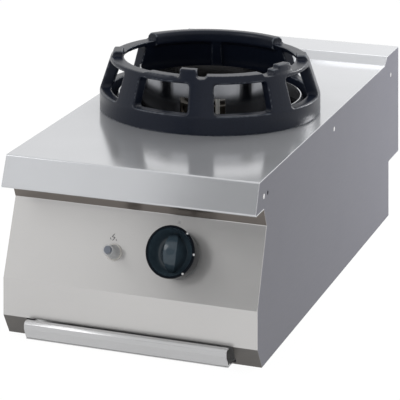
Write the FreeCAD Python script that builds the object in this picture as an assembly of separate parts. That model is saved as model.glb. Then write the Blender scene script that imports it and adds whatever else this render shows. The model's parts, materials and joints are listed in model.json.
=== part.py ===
"""Gas wok range, 400 mm wide counter-top module, as separate pieces.

Units are millimetres, +Z is up, +X is to the right of a cook standing in front and +Y runs from
the cook to the rear wall.  The pieces are drawn with y = 0 at the upright facia and z = 0 at the
counter, and export() then moves them so that the origin is the centre of the footprint.
"""
import FreeCAD, Part
import math
import os

V = FreeCAD.Vector

# ---------------------------------------------------------------- casing
WIDTH = 400.0             # width of the module
BODY_DEPTH = 900.0        # front of the nosing to the rear face
COOKTOP_Z = 273.0         # height of the flat cooktop
SHEET = 1.5               # thickness of the casing sheet
FOLD_R = 3.0              # outside radius of a fold in that sheet
NOSE_LEAD = 9.7           # how far the nosing stands in front of the facia
NOSE_SLOPE = 21.0         # how far the face of the nosing leans back
NOSE_DROP = 45.5          # height of the nosing
NOSE_UNDERSIDE = 42.7     # depth of the underside of the nosing
PANEL_TOP_Y = 47.2        # top edge of the control panel, behind the facia
PANEL_TOP_Z = 200.0       # top edge of the control panel
CREASE_Z = 88.7           # fold between the control panel and the facia
FACIA_BOTTOM_Z = 33.0     # bottom edge of the facia
TOE_SETBACK = 22.9        # how far the toe leans back to the counter
PIPE_RECESS_DEPTH = 76.2  # step in the lower rear, for the gas connection
PIPE_RECESS_H = 95.5      # height of that step
UPSTAND_H = 13.0          # height of the rear upstand above the cooktop
UPSTAND_TOP_DEPTH = 87.0  # depth of its flat top
UPSTAND_SLOPE = 19.0      # how far its front face leans back
SEAM_DROP = 28.0          # seam of upstand and back panel, below the cooktop
CLEAR = 0.3               # gap between loose pieces
REACH = 100.0             # how far the boxes that divide the skin run past it
FRONT_TURN = -90.0        # turn of the cook's side, seen from +X

# ---------------------------------------------------------------- wok ring, a loose casting
BURNER_BACK = 395.5       # burner axis, behind the facia
RING_R = 181.0            # outer radius of the base band
RING_WALL = 19.0          # radial thickness of the base band
BAND_H = 29.0             # height of the upright base band
RING_LEAN = 1.0 / 3.0     # how much the radius shrinks for each millimetre above the band
RIM_H = 84.0              # height of the plain rim
RIM_SET_IN = 40.0         # how far the bore of the rim stands in from the foot of the ring
POST_COUNT = 8            # posts between the windows
POST_TURN = 13.3          # turn of the first post from the front, towards the right
POST_ANGLE = 13.8         # width of a post
WINDOW_LOW = 31.0         # lower edge of the windows, above the cooktop
WINDOW_HIGH = 76.0        # upper edge of the windows
WINDOW_CORNER = 5.0       # corner radius of the windows
HOOD_BAYS = (3, 4)        # bays that are closed by the rear hood
HOOD_H = 95.0             # height of the hood
LIP_OVERHANG = 2.0        # how far its rolled lip stands in from the bore of the rim
LIP_ROLL = 3.5            # chamfer along the edges of that lip
LIP_LOW = 77.0            # lower edge of that lip
RIB_ANGLE = 6.6           # width of the rib inside the hood
RIB_PROUD = 5.0           # how far the rib stands out of the wall
WINDOW_EDGE_R = 3.0       # rounding of their outer edges
THROAT = 4.0              # how much wider than the rim the ring is under it
# raised pads on the rim: first turn, last turn, height, set-in from the bore, set-in from outside
PADS = (
    (-22.0, -1.5, 86.5, 0.0, 0.0),
    (16.0, 50.0, 88.8, 0.0, 0.0),
    (0.5, 10.5, 98.0, 4.0, 0.0),
    (57.5, 62.5, 92.0, 2.0, 1.5),
    (62.5, 73.0, 97.0, 2.0, 1.5),
    (100.0, 112.0, 92.0, 2.0, 1.5),
    (-80.0, -66.0, 93.0, 2.0, 1.5),
)

# ---------------------------------------------------------------- well, skirt and burner
WELL_COLLAR_H = 25.0      # collar pressed up round the well, which centres the ring
WELL_COLLAR_LEAN = 11.5   # how far it leans in on the way up
RING_ROOM = 0.5           # room between the foot of the collar and the ring
BOWL_FLANGE = 10.0        # width of the flange of the spill bowl under the cooktop
BOWL_DEPTH = 18.0         # depth of its floor below the cooktop
BOWL_COLLAR_R = 71.5      # radius of the collar around the burner
BOWL_COLLAR_H = 9.0       # height of that collar
SKIRT_ROOM = 35.0         # room between the flame skirt and the top of the well collar
SKIRT_WALL = 2.0          # its thickness
SKIRT_TOP = 67.0          # its top edge above the cooktop, in front
SKIRT_REAR_TOP = 42.0     # and at the rear
SKIRT_HIGH_FROM = -78.0   # turn from which its front stands high
SKIRT_HIGH_TO = 78.0      # and turn up to which it does
SKIRT_CUT_FROM = -6.5     # cut-out for the pilot, first angle
SKIRT_CUT_TO = 30.5       # cut-out for the pilot, last angle
SKIRT_CUT_TOP = 42.0      # top of the cut-out above the cooktop
BURNER_R = 60.0           # radius of the burner chamber
CHAMBER_H = 32.0          # height of the chamber
CHAMBER_TOP = -5.0        # top of the chamber against the cooktop
CAST_WALL = 5.0           # wall of the burner casting
COLUMN_R = 24.0           # radius of the mixture column
COLUMN_BORE = 18.0        # radius of its bore
VENTURI_Z = 175.0         # height of the mixing tube
VENTURI_LEN = 180.0       # its length
VENTURI_R = 20.0          # its outer radius
BELL_R = 30.0             # its mouth
SOCKET_LEN = 32.0         # from the burner axis to the end of the socket
CROWN_H = 20.0            # height of the port ring
CROWN_HOLE_R = 30.0       # radius of its centre hole
PORTS = 24                # flame ports
PORT_W = 3.0              # width of a port
CAP_R = 42.0              # radius of the burner cap
CAP_H = 8.0               # its thickness
SPIGOT_H = 10.0           # its spigot
BRACKET_T = 3.0           # thickness of the burner bracket
BRACKET_W = 40.0          # its width
BRACKET_END = 28.0        # height of its turned-up ends
PILOT_TURN = 14.0         # turn of the pilot burner
SPARK_TURN = 25.8         # turn of the spark electrode
PROBE_TURN = 38.0         # turn of the thermocouple
PILOT_R = 5.0
PILOT_TOP = 30.0          # top of the pilot tube above the cooktop
PILOT_HOOD_H = 8.0        # height of its hood
PILOT_HOOD_WALL = 1.5     # wall of the hood, and how far it stands out
PILOT_SLOT_R = 2.5        # half height of the slot in the hood
SPARK_R = 3.5
SPARK_TOP = 38.0          # top of the ceramic
SPARK_WIRE_R = 1.0
SPARK_WIRE_H = 6.0        # height of the bare wire above the ceramic
SPARK_WIRE_TURN = -3.0    # turn of the wire towards the pilot
PROBE_R = 2.5
PROBE_TOP = 34.0
PILOT_PLATE_HALF = 8.0    # half width of the plate that holds them
PILOT_PLATE_T = 2.0
PILOT_PLATE_END = 6.0     # turn by which it goes past the outer two
PILOT_FOOT = 4.0          # how far they reach below the bowl

# ---------------------------------------------------------------- controls, on the sloped panel
KNOB_X = 70.5             # knob axis, to the right of the middle
KNOB_S = 64.7             # and up the panel from the crease
KNOB_R = 37.8             # at the front
KNOB_BACK_R = 35.0        # at the back
KNOB_GAP = 6.0            # gap between the panel and the knob, room to push it
KNOB_FRONT = 42.0         # front of the knob, out of the panel
KNOB_EDGE_R = 3.0
KNOB_SHELL = 4.0
DISH_RIM = 34.6           # radius of the hollow in the front of the knob
DISH_FLOOR_R = 31.0       # and at its floor
DISH_DEPTH = 24.0
DISH_CORNER = 11.0        # radius between floor and wall
GRIP_FOOT_W = 19.5        # half width of the grip at its foot
GRIP_TOP_W = 9.5          # half width of the grip at its crest
GRIP_HALF = 31.0          # half length of the grip
GRIP_CREST = 0.5          # how far the crest stands in front of the rim
GRIP_ARCH = 30.6          # radius of the arch of its crest
STEM_TOP = 28.0           # how far the stem reaches into the knob, out of the panel
HUB_R = 9.0
STEM_R = 4.0
STEM_BACK = 34.0          # how far the stem reaches behind the panel
STEM_HOLE_R = 6.5         # hole in the panel
PUSH_TRAVEL = 5.0         # how far the knob is pushed to light the pilot
ROD_R = 2.0
RUNNING = 0.05            # radial clearance of turning pieces
VALVE_W = 34.0
VALVE_FRONT = 14.0        # front of the gas tap, behind the panel
VALVE_LEN = 54.0
VALVE_END = 4.0           # wall at the rear end of the tap
INLET_BOSS = 28.0         # gas inlet of the tap, from its rear end
BRACKET_REACH = 14.0      # how far the tap's bracket reaches past it on each side
BRACKET_FOOT = 12.0       # width of its feet
BRACKET_SHEET = 2.0       # its thickness
GLAND_R = 8.5
BOSS_R = 8.0
BOSS_LEN = 13.0
IGNITER_X = -29.0
IGNITER_S = 57.0
IGNITER_R = 9.0
IGNITER_LEN = 46.0
NUT_R = 12.0
NUT_T = 4.0
FLANGE_T = 3.0            # flange of the igniter behind the panel
BUTTON_WELL = 22.0        # depth of the bore for the button
BUTTON_EDGE_R = 1.0
SLEEVE_SET_IN = 1.5       # foot of the sleeve, in from the edge of the nut
SLEEVE_FRONT = 29.0
SLEEVE_R = 7.8            # radius of the clear sleeve at its front
BUTTON_R = 5.6
BUTTON_FRONT = 33.0
BUTTON_TRAVEL = 5.0

# ---------------------------------------------------------------- gas pipes and leads
GAS_PIPE_R = 6.0
FEED_PIPE_R = 5.0
PILOT_PIPE_R = 2.0
LEAD_R = 2.0
PROBE_LEAD_R = 1.5
PIPE_BEND = 20.0
INLET_FROM_SIDE = 50.0    # gas inlet, in from the right side
INLET_Z = 50.0            # and above the counter
INLET_R = 10.45           # radius over the thread of a half-inch connection
INLET_NECK_R = 10.0       # radius of the neck behind the thread
INLET_NUT_R = 16.0
INLET_NUT_T = 6.0
INLET_THREAD = 24.0       # length of the thread behind the nut
MANIFOLD_REAR = 50.0      # where the manifold turns down, in front of the back panel
FEED_STRAIGHT = 38.0      # how far the feed pipe runs straight out of the tap
PILOT_TAP = 16.0          # pilot outlet of the tap, from its rear end
PILOT_SIDE = 22.0         # how far the pilot pipe runs sideways from it
PILOT_RUN = 90.0          # where that pipe turns towards its burner, in front of it
PROBE_TAP = 18.0          # socket of the probe on the tap, from its rear end
PROBE_RISE = 26.0         # how far the probe lead rises from it
PROBE_RUN = 110.0         # where that lead turns towards its probe, in front of it
PROBE_LIFT = 18.0         # rise of the lead on the way
LEAD_STRAIGHT = 30.0      # how far the ignition lead runs straight out of the igniter
LEAD_X = -62.0            # run of the ignition lead beside the mixing tube
LEAD_BEHIND = 30.0        # where it starts, behind the heat shield
LEAD_RUN = 70.0           # and where it ends, in front of the electrode
LEAD_LIFT = 34.0          # its height above the mixing tube there
LEAD_DROP = 36.0          # last rise of the lead up to the electrode
PIPE_DROP = 58.0          # last rise of the pilot pipe and the probe lead
SHIELD_T = 1.2            # heat shield behind the controls
SHIELD_FOOT = 34.0
PIPE_ROOM = 2.0           # room round a pipe in a sheet
HOLDER_BACK = 20.0        # middle of the injector holder, in front of the bell mouth
HOLDER_HALF = 10.0        # half depth of the holder
HOLDER_W = 13.0           # its half width
HOLDER_H = 12.0           # its half height
HOLDER_LUG = 2.3          # lug between the holder and the heat shield
HOLDER_WING = 16.0        # how far its wings reach past the bell
HOLDER_WING_T = 3.0
JET_R = 4.0               # thread of the injector
JET_SEAT = 2.0            # where the thread starts, behind the middle of the holder
JET_HEX_R = 7.0
JET_HEX = 4.0             # length of its hexagon
JET_NOSE_R = 4.5
JET_NOSE = 5.0            # length of its nose
JET_HOLE_R = 1.2

# ---------------------------------------------------------------- drip tray and base
HANDLE_REACH = 18.0       # how far the tray's handle stands in front of the facia
HANDLE_TOP = 33.0
HANDLE_T = 2.0
HANDLE_FOLD_R = 3.0
HANDLE_CHAMFER = 3.5      # fold between the top and the front of the handle
HANDLE_FACE = 10.5        # from its top to the fold under its front
HANDLE_FLANGE = 12.0      # depth of its top
HANDLE_FOOT = 2.0         # how far its foot reaches behind the facia
TRAY_FROM_SIDE = 41.2     # side of the tray and the handle, in from the side of the casing
TRAY_LEN = 640.0
TRAY_H = 22.0
TRAY_WALL = 1.2
TRAY_FRONT = 27.0         # front wall of the pan, behind the facia
RUNNER_T = 1.5
RUNNER_H = 27.0
RUNNER_LEDGE = 12.0
RUNNER_FOOT = 15.0
RUNNER_PAST = 10.0        # how far the runners go past the pan
RAIL_T = 3.0
RAIL_H = 25.0
RAIL_W = 28.0
CROSS_W = 22.0
TOE_OPENING = 3.5         # room round the tray in the toe panel

# ---------------------------------------------------------------- side fixings
LINK_Z = 247.0            # height of the fixings that link modules
LINK_FRONT = 34.3         # front screw, behind the facia
LINK_MIDDLE = 455.0       # middle screw, in front of the rear face
LINK_REAR = 59.8          # rear screw, in front of the rear face
LINK_HOLE_Y = 53.9
LINK_HOLE_R = 3.25
SCREW_R = 4.0
SCREW_SLOT = 1.0          # width of the slot
SCREW_SLOT_DEPTH = 0.8
SCREW_SHANK_R = 2.5
SCREW_LEN = 10.0

# ---------------------------------------------------------------- worked out from the above
HALF = WIDTH / 2.0
INNER = HALF - SHEET
REAR_Y = BODY_DEPTH - NOSE_LEAD
NOSE_Z = COOKTOP_Z - NOSE_DROP
UPSTAND_Y = REAR_Y - UPSTAND_TOP_DEPTH
UPSTAND_FOOT = UPSTAND_Y - UPSTAND_SLOPE
RECESS_Y = REAR_Y - PIPE_RECESS_DEPTH
SEAM_Z = COOKTOP_Z - SEAM_DROP
BOWL_FLOOR = COOKTOP_Z - BOWL_DEPTH
PILOT_LOW = BOWL_FLOOR - SHEET - PILOT_FOOT
CHAMBER_Z = COOKTOP_Z + CHAMBER_TOP
COLUMN_FOOT = VENTURI_Z - COLUMN_R
PANEL_TILT = math.degrees(math.atan2(PANEL_TOP_Z - CREASE_Z, PANEL_TOP_Y))
TRAY_FLOOR = RAIL_T + RUNNER_T + CLEAR
TRAY_HALF = HALF - TRAY_FROM_SIDE
LINK_SCREWS = (LINK_FRONT, REAR_Y - LINK_MIDDLE, REAR_Y - LINK_REAR)
RIM_INNER_R = RING_R - RIM_SET_IN
LIP_R = RIM_INNER_R - LIP_OVERHANG
COLLAR_FOOT_R = RING_R - RING_WALL - RING_ROOM
WELL_R = COLLAR_FOOT_R - WELL_COLLAR_LEAN
SKIRT_R = WELL_R - SKIRT_ROOM
PILOT_RADIUS = (BOWL_COLLAR_R + SKIRT_R - SKIRT_WALL) / 2.0
PILOT_PARTS = ((PILOT_TURN, PILOT_R), (SPARK_TURN, SPARK_R), (PROBE_TURN, PROBE_R))
BELL_Y = BURNER_BACK - SOCKET_LEN - VENTURI_LEN
HOLDER_Y = BELL_Y - HOLDER_BACK
SHIELD_Y = HOLDER_Y - HOLDER_HALF - HOLDER_LUG - SHIELD_T
INLET_X = HALF - INLET_FROM_SIDE
INLET_END = RECESS_Y + INLET_NUT_T + INLET_THREAD

# side outline of the casing, from the top of the nosing forwards and down; each point has the
# radius of its fold, and the last value says whether a sheet covers the run to the next point
OUTLINE = (
    (NOSE_SLOPE - NOSE_LEAD, COOKTOP_Z, FOLD_R, True),
    (-NOSE_LEAD, NOSE_Z, FOLD_R, True),
    (NOSE_UNDERSIDE - NOSE_LEAD, NOSE_Z, FOLD_R, True),
    (PANEL_TOP_Y, PANEL_TOP_Z, FOLD_R, True),
    (0.0, CREASE_Z, FOLD_R, True),
    (0.0, FACIA_BOTTOM_Z, FOLD_R, True),
    (TOE_SETBACK, 0.0, 0.0, False),
    (RECESS_Y, 0.0, 0.0, True),
    (RECESS_Y, PIPE_RECESS_H, FOLD_R, True),
    (REAR_Y, PIPE_RECESS_H, FOLD_R, True),
    (REAR_Y, COOKTOP_Z + UPSTAND_H, FOLD_R, True),
    (UPSTAND_Y, COOKTOP_Z + UPSTAND_H, FOLD_R, True),
    (UPSTAND_FOOT, COOKTOP_Z, FOLD_R, True),
)


# ================================================================ helpers
def export(name, shape):
    """Move a finished piece so that the middle of the footprint is the origin, and write it."""
    edge = panel_point(KNOB_X, KNOB_S - KNOB_R + KNOB_EDGE_R, KNOB_FRONT - KNOB_EDGE_R)
    foremost = min(edge.y - KNOB_EDGE_R, -HANDLE_REACH)
    moved = shape.copy()
    moved.translate(V(0, -(foremost + REAR_Y) / 2.0, 0))
    moved.exportStep("parts/%s.step" % name)


def box(x0, x1, y0, y1, z0, z1):
    return Part.makeBox(x1 - x0, y1 - y0, z1 - z0, V(x0, y0, z0))


def rod(start, end, radius):
    """Round bar between two points."""
    along = end - start
    return Part.makeCylinder(radius, along.Length, start, along)


def fuse(pieces):
    whole = pieces[0]
    for piece in pieces[1:]:
        whole = whole.fuse(piece)
    return whole.removeSplitter()


def cut(shape, tools):
    for tool in tools:
        shape = shape.cut(tool)
    return shape


def rounded_prism(points, radii, x0, x1):
    """Solid between x0 and x1 with a side view of (y, z) points, each rounded to its own radius."""
    count = len(points)
    edges = []
    entries = []
    for i in range(count):
        here = V(x0, *points[i])
        before = (V(x0, *points[i - 1]) - here).normalize()
        after = (V(x0, *points[(i + 1) % count]) - here).normalize()
        half = before.getAngle(after) / 2.0
        if radii[i] == 0.0:
            entries.append((here, here, None))
            continue
        reach = radii[i] / math.tan(half)
        middle = (before + after).normalize() * (radii[i] / math.sin(half) - radii[i])
        entries.append((here + before * reach, here + after * reach, here + middle))
    for i in range(count):
        first, last, middle = entries[i]
        if middle is not None:
            edges.append(Part.Arc(first, middle, last).toShape())
        edges.append(Part.makeLine(last, entries[(i + 1) % count][0]))
    return Part.Face(Part.Wire(edges)).extrude(V(x1 - x0, 0, 0))


def inset(points, distances):
    """Move each side of a closed outline inwards by its own distance."""
    area = 0.0
    for (y0, z0), (y1, z1) in zip(points, points[1:] + points[:1]):
        area += y0 * z1 - y1 * z0
    sign = 1.0 if area > 0 else -1.0
    lines = []
    for (y0, z0), (y1, z1), gap in zip(points, points[1:] + points[:1], distances):
        length = math.hypot(y1 - y0, z1 - z0)
        ty, tz = (y1 - y0) / length, (z1 - z0) / length
        lines.append((y0 - tz * gap * sign, z0 + ty * gap * sign, ty, tz))
    moved = []
    for i in range(len(points)):
        ay, az, aty, atz = lines[i - 1]
        by, bz, bty, btz = lines[i]
        cross = aty * btz - atz * bty
        k = ((by - ay) * btz - (bz - az) * bty) / cross
        moved.append((ay + aty * k, az + atz * k))
    return moved


def is_convex(points, i):
    (ay, az), (by, bz) = points[i - 1], points[i]
    cy, cz = points[(i + 1) % len(points)]
    area = sum(p[0] * q[1] - q[0] * p[1] for p, q in zip(points, points[1:] + points[:1]))
    return ((by - ay) * (cz - bz) - (bz - az) * (cy - by)) * area > 0


def bent_strip(points, thickness, radius, x0, x1):
    """Sheet folded along an open line of (y, z) points, to the left of the way it runs."""
    offset = []
    for i in range(len(points)):
        normals = []
        for a, b in ((i - 1, i), (i, i + 1)):
            if a >= 0 and b < len(points):
                dy, dz = points[b][0] - points[a][0], points[b][1] - points[a][1]
                length = math.hypot(dy, dz)
                normals.append((-dz / length, dy / length))
        ny = sum(n[0] for n in normals)
        nz = sum(n[1] for n in normals)
        scale = thickness * len(normals) / (ny * ny + nz * nz)
        offset.append((points[i][0] + ny * scale, points[i][1] + nz * scale))
    outline = list(points) + offset[::-1]
    last = len(points) - 1
    radii = []
    for i in range(len(outline)):
        fold = 0 < i < last or last + 1 < i < len(outline) - 1
        outside = radius if is_convex(outline, i) else radius - thickness
        radii.append(outside if fold else 0.0)
    return rounded_prism(outline, radii, x0, x1)


def turned(profile, centre, start=0.0, sweep=360.0):
    """Revolve (radius, z) points round the upright line at centre; start is in degrees from +X."""
    loop = [V(r, 0, z) for r, z in profile]
    face = Part.Face(Part.makePolygon(loop + loop[:1]))
    solid = face.revolve(V(0, 0, 0), V(0, 0, 1), sweep)
    solid.rotate(V(0, 0, 0), V(0, 0, 1), start)
    solid.translate(centre)
    return solid


def sector(profile, first, last):
    """Stretch of a turned profile round the burner between two turns from the front."""
    return turned(profile, BURNER_AXIS, first + FRONT_TURN, last - first)


def round_the_burner(radius, turn, z):
    """Point on a circle round the burner, turned from the front towards the right."""
    angle = math.radians(turn)
    return V(radius * math.sin(angle), BURNER_BACK - radius * math.cos(angle), z)


def on_panel(shape, x, s):
    """Place a piece drawn on a flat panel (z outwards, y up the panel) on the sloped one."""
    shape.rotate(V(0, 0, 0), V(1, 0, 0), PANEL_TILT)
    shape.translate(panel_point(x, s, 0.0))
    return shape


def panel_point(x, s, out):
    angle = math.radians(PANEL_TILT)
    return V(x, s * math.cos(angle) - out * math.sin(angle),
             CREASE_Z + s * math.sin(angle) + out * math.cos(angle))


def pipe(points, radius, bend):
    """Round pipe along straight runs joined by tangent arcs."""
    edges = []
    start = points[0]
    for before, corner, after in zip(points, points[1:], points[2:]):
        back = (before - corner).normalize()
        ahead = (after - corner).normalize()
        half = back.getAngle(ahead) / 2.0
        reach = bend / math.tan(half)
        middle = corner + (back + ahead).normalize() * (bend / math.sin(half) - bend)
        first, last = corner + back * reach, corner + ahead * reach
        edges.append(Part.makeLine(start, first))
        edges.append(Part.Arc(first, middle, last).toShape())
        start = last
    edges.append(Part.makeLine(start, points[-1]))
    ring = Part.Wire([Part.makeCircle(radius, points[0], points[1] - points[0])])
    return Part.Wire(edges).makePipeShell([ring], True, False)


BURNER_AXIS = V(0, BURNER_BACK, 0)
PROFILE = [(y, z) for y, z, r, covered in OUTLINE]
INSIDE = inset(PROFILE, [SHEET if covered else 0.0 for y, z, r, covered in OUTLINE])
BASE_FRONT = INSIDE[6][0] + CLEAR


def fold_radii(outside):
    """Fold radii of the outer or the inner face of the casing sheet."""
    radii = []
    for i, (y, z, r, covered) in enumerate(OUTLINE):
        thick_side = is_convex(PROFILE, i) == outside
        radii.append(0.0 if r == 0.0 else (r if thick_side else r - SHEET))
    return radii


def casing_skin():
    """One folded sheet all the way round, cut into the real pieces below."""
    outer = rounded_prism(PROFILE, fold_radii(True), -HALF, HALF)
    inner = rounded_prism(INSIDE, fold_radii(False), -HALF - SHEET, HALF + SHEET)
    return outer.cut(inner)


# ================================================================ pipe routes
def valve_point(x, s, back):
    return panel_point(KNOB_X + x, KNOB_S + s, -back)


def pipe_routes():
    """Route and radius of each gas pipe and lead inside the casing."""
    valve_back = VALVE_FRONT + VALVE_LEN
    inlet = valve_point(VALVE_W / 2 + BOSS_LEN, 0, valve_back - INLET_BOSS)
    outlet = valve_point(0, 0, valve_back)
    leaving = valve_point(0, 0, valve_back + FEED_STRAIGHT)
    tap = valve_point(-VALVE_W / 2, 0, valve_back - PILOT_TAP)
    beside = tap + V(-PILOT_SIDE, 0, 0)
    probe = valve_point(0, VALVE_W / 2, valve_back - PROBE_TAP)
    probe_up = valve_point(0, VALVE_W / 2 + PROBE_RISE, valve_back - PROBE_TAP)
    igniter_end = -IGNITER_LEN - SHEET
    spark = panel_point(IGNITER_X, IGNITER_S, igniter_end)
    spark_out = panel_point(IGNITER_X, IGNITER_S, igniter_end - LEAD_STRAIGHT)
    pilot = round_the_burner(PILOT_RADIUS, PILOT_TURN, PILOT_LOW)
    plug = round_the_burner(PILOT_RADIUS, SPARK_TURN, PILOT_LOW)
    tip = round_the_burner(PILOT_RADIUS, PROBE_TURN, PILOT_LOW)
    drop = V(0, 0, PIPE_DROP)
    rise = RECESS_Y - MANIFOLD_REAR
    return {
        "gas_manifold": ([inlet, V(INLET_X, inlet.y, inlet.z), V(INLET_X, rise, inlet.z),
                          V(INLET_X, rise, INLET_Z), V(INLET_X, RECESS_Y - SHEET, INLET_Z)],
                         GAS_PIPE_R, PIPE_BEND),
        "feed_pipe": ([outlet, leaving, V(0, HOLDER_Y, leaving.z),
                       V(0, HOLDER_Y, VENTURI_Z - HOLDER_H)], FEED_PIPE_R, PIPE_BEND),
        "pilot_pipe": ([tap, beside, V(beside.x, pilot.y - PILOT_RUN, tap.z), pilot - drop, pilot],
                       PILOT_PIPE_R, PIPE_BEND / 2),
        "probe_lead": ([probe, probe_up, V(tip.x, tip.y - PROBE_RUN, probe_up.z + PROBE_LIFT),
                        tip - drop, tip], PROBE_LEAD_R, PIPE_BEND / 2),
        "ignition_lead": ([spark, spark_out, V(LEAD_X, SHIELD_Y + LEAD_BEHIND, spark_out.z),
                           V(LEAD_X, plug.y - LEAD_RUN, VENTURI_Z + LEAD_LIFT),
                           plug - V(0, 0, LEAD_DROP), plug], LEAD_R, PIPE_BEND / 2),
    }


ROUTES = pipe_routes()


def route(name, extra=0.0):
    points, radius, bend = ROUTES[name]
    return pipe(points, radius + extra, bend)


# ================================================================ casing
def side_panel(side):
    """Flat side of the casing, inside the folded sheets, with the holes for linking modules."""
    plate = rounded_prism(INSIDE, fold_radii(False), INNER, HALF)
    holes = [rod(V(INNER - 1, y, LINK_Z), V(HALF + 1, y, LINK_Z), SCREW_R + RUNNING)
             for y in LINK_SCREWS]
    holes.append(rod(V(INNER - 1, LINK_HOLE_Y, LINK_Z), V(HALF + 1, LINK_HOLE_Y, LINK_Z),
                     LINK_HOLE_R))
    plate = cut(plate, holes)
    return plate if side > 0 else plate.mirror(V(0, 0, 0), V(1, 0, 0))


def link_screws():
    """Countersunk screws that close the linking holes, flush with the sides."""
    screws = []
    for y in LINK_SCREWS:
        head = rod(V(INNER, y, LINK_Z), V(HALF, y, LINK_Z), SCREW_R)
        slot = box(HALF - SCREW_SLOT_DEPTH, HALF, y - SCREW_SLOT / 2, y + SCREW_SLOT / 2,
                   LINK_Z - SCREW_R, LINK_Z + SCREW_R)
        shank = rod(V(INNER - SCREW_LEN, y, LINK_Z), V(INNER, y, LINK_Z), SCREW_SHANK_R)
        screw = fuse([head.cut(slot), shank])
        screws += [screw, screw.mirror(V(0, 0, 0), V(1, 0, 0))]
    return Part.makeCompound(screws)


def control_panel(skin):
    """Recess, sloped panel and upright facia in one folded sheet."""
    sheet = skin.common(box(-HALF, HALF, -REACH, REACH, FACIA_BOTTOM_Z, NOSE_Z))
    stem_hole = on_panel(Part.makeCylinder(STEM_HOLE_R, 20, V(0, 0, -10)), KNOB_X, KNOB_S)
    igniter_hole = on_panel(Part.makeCylinder(IGNITER_R, 20, V(0, 0, -10)), IGNITER_X, IGNITER_S)
    return cut(sheet, [stem_hole, igniter_hole])


def toe_panel(skin):
    """Sheet that leans back under the facia, with the opening for the drip tray."""
    sheet = skin.common(box(-HALF, HALF, -REACH, TOE_SETBACK + SHEET, 0, FACIA_BOTTOM_Z))
    wide = TRAY_HALF + TOE_OPENING
    return sheet.cut(box(-wide, wide, -REACH, REACH, RAIL_T, FACIA_BOTTOM_Z + 1))


def collar_slant():
    """Thickness of the leaning collar, measured level."""
    return math.hypot(WELL_COLLAR_LEAN, WELL_COLLAR_H) / WELL_COLLAR_H * SHEET


def cooktop(skin):
    """Flat top with its nosing and the hole for the burner well."""
    sheet = skin.common(box(-HALF, HALF, -REACH, UPSTAND_FOOT, NOSE_Z, COOKTOP_Z))
    return sheet.cut(Part.makeCylinder(COLLAR_FOOT_R, 2 * SHEET,
                                       BURNER_AXIS + V(0, 0, COOKTOP_Z - 1.5 * SHEET)))


def well_collar():
    """Collar welded into the hole of the cooktop; the loose ring is centred on it."""
    slant, low, high = collar_slant(), COOKTOP_Z - SHEET, COOKTOP_Z + WELL_COLLAR_H
    inside = COLLAR_FOOT_R - slant
    return turned([(inside, low), (COLLAR_FOOT_R, low), (COLLAR_FOOT_R, COOKTOP_Z), (WELL_R, high),
                   (WELL_R - slant, high), (inside, COOKTOP_Z)], BURNER_AXIS)


def rear_upstand(skin):
    return skin.common(box(-HALF, HALF, UPSTAND_FOOT, REAR_Y, SEAM_Z, COOKTOP_Z + UPSTAND_H))


def back_panel(skin):
    sheet = skin.common(box(-HALF, HALF, RECESS_Y - SHEET, REAR_Y, 0, SEAM_Z))
    hole = rod(V(INLET_X, RECESS_Y - 20, INLET_Z), V(INLET_X, RECESS_Y + 20, INLET_Z),
               INLET_NECK_R + RUNNING)
    return sheet.cut(hole)


def base_foot(side):
    """Flat bar that lies along one side of the frame under the casing."""
    outer, inner = side * INNER, side * (INNER - RAIL_W)
    return box(min(outer, inner), max(outer, inner), BASE_FRONT, RECESS_Y - SHEET, 0, RAIL_T)


def base_web(side):
    """Flat bar that is welded on edge along the outside of a foot."""
    outer, web = side * INNER, side * (INNER - RAIL_T)
    return box(min(outer, web), max(outer, web), BASE_FRONT + RAIL_H, RECESS_Y - SHEET, RAIL_T, RAIL_H)


def base_front():
    """Flat bar that is welded between the rails in front."""
    half = INNER - RAIL_W
    return box(-half, half, BASE_FRONT, BASE_FRONT + CROSS_W, 0, RAIL_T)


def base_rear():
    """Angle that is welded between the rails at the rear."""
    rear, half, web = RECESS_Y - SHEET, INNER - RAIL_W, INNER - RAIL_T
    return fuse([box(-half, half, rear - CROSS_W, rear, 0, RAIL_T),
                 box(-web, web, rear - RAIL_T, rear, RAIL_T, RAIL_H)])


def heat_shield():
    plate = box(-INNER, INNER, SHIELD_Y, SHIELD_Y + SHIELD_T, SHIELD_FOOT, COOKTOP_Z - SHEET)
    bore = rod(V(0, SHIELD_Y - 20, VENTURI_Z), V(0, SHIELD_Y + 20, VENTURI_Z), BELL_R + PIPE_ROOM)
    return cut(plate, [bore] + [route(name, PIPE_ROOM) for name in sorted(ROUTES)])


# ================================================================ drip tray
def drip_tray():
    """Long pan that slides out under the burner, with a tongue that carries the handle."""
    z0 = TRAY_FLOOR
    back = TRAY_FRONT + TRAY_LEN
    pan = box(-TRAY_HALF, TRAY_HALF, TRAY_FRONT, back, z0, z0 + TRAY_H)
    room = box(-TRAY_HALF + TRAY_WALL, TRAY_HALF - TRAY_WALL, TRAY_FRONT + TRAY_WALL,
               back - TRAY_WALL, z0 + TRAY_WALL, z0 + TRAY_H + 1)
    tongue = box(-TRAY_HALF, TRAY_HALF, -HANDLE_REACH / 2, TRAY_FRONT, z0, z0 + TRAY_WALL)
    return fuse([pan.cut(room), tongue])


def tray_handle():
    """Folded grip across the front of the tray."""
    low = TRAY_FLOOR + TRAY_WALL
    line = [(HANDLE_FLANGE - HANDLE_REACH, HANDLE_TOP),
            (HANDLE_CHAMFER - HANDLE_REACH, HANDLE_TOP),
            (-HANDLE_REACH, HANDLE_TOP - HANDLE_CHAMFER),
            (-HANDLE_REACH, HANDLE_TOP - HANDLE_FACE), (-HANDLE_REACH / 2, low), (HANDLE_FOOT, low)]
    return bent_strip(line, HANDLE_T, HANDLE_FOLD_R, -TRAY_HALF, TRAY_HALF)


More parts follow.
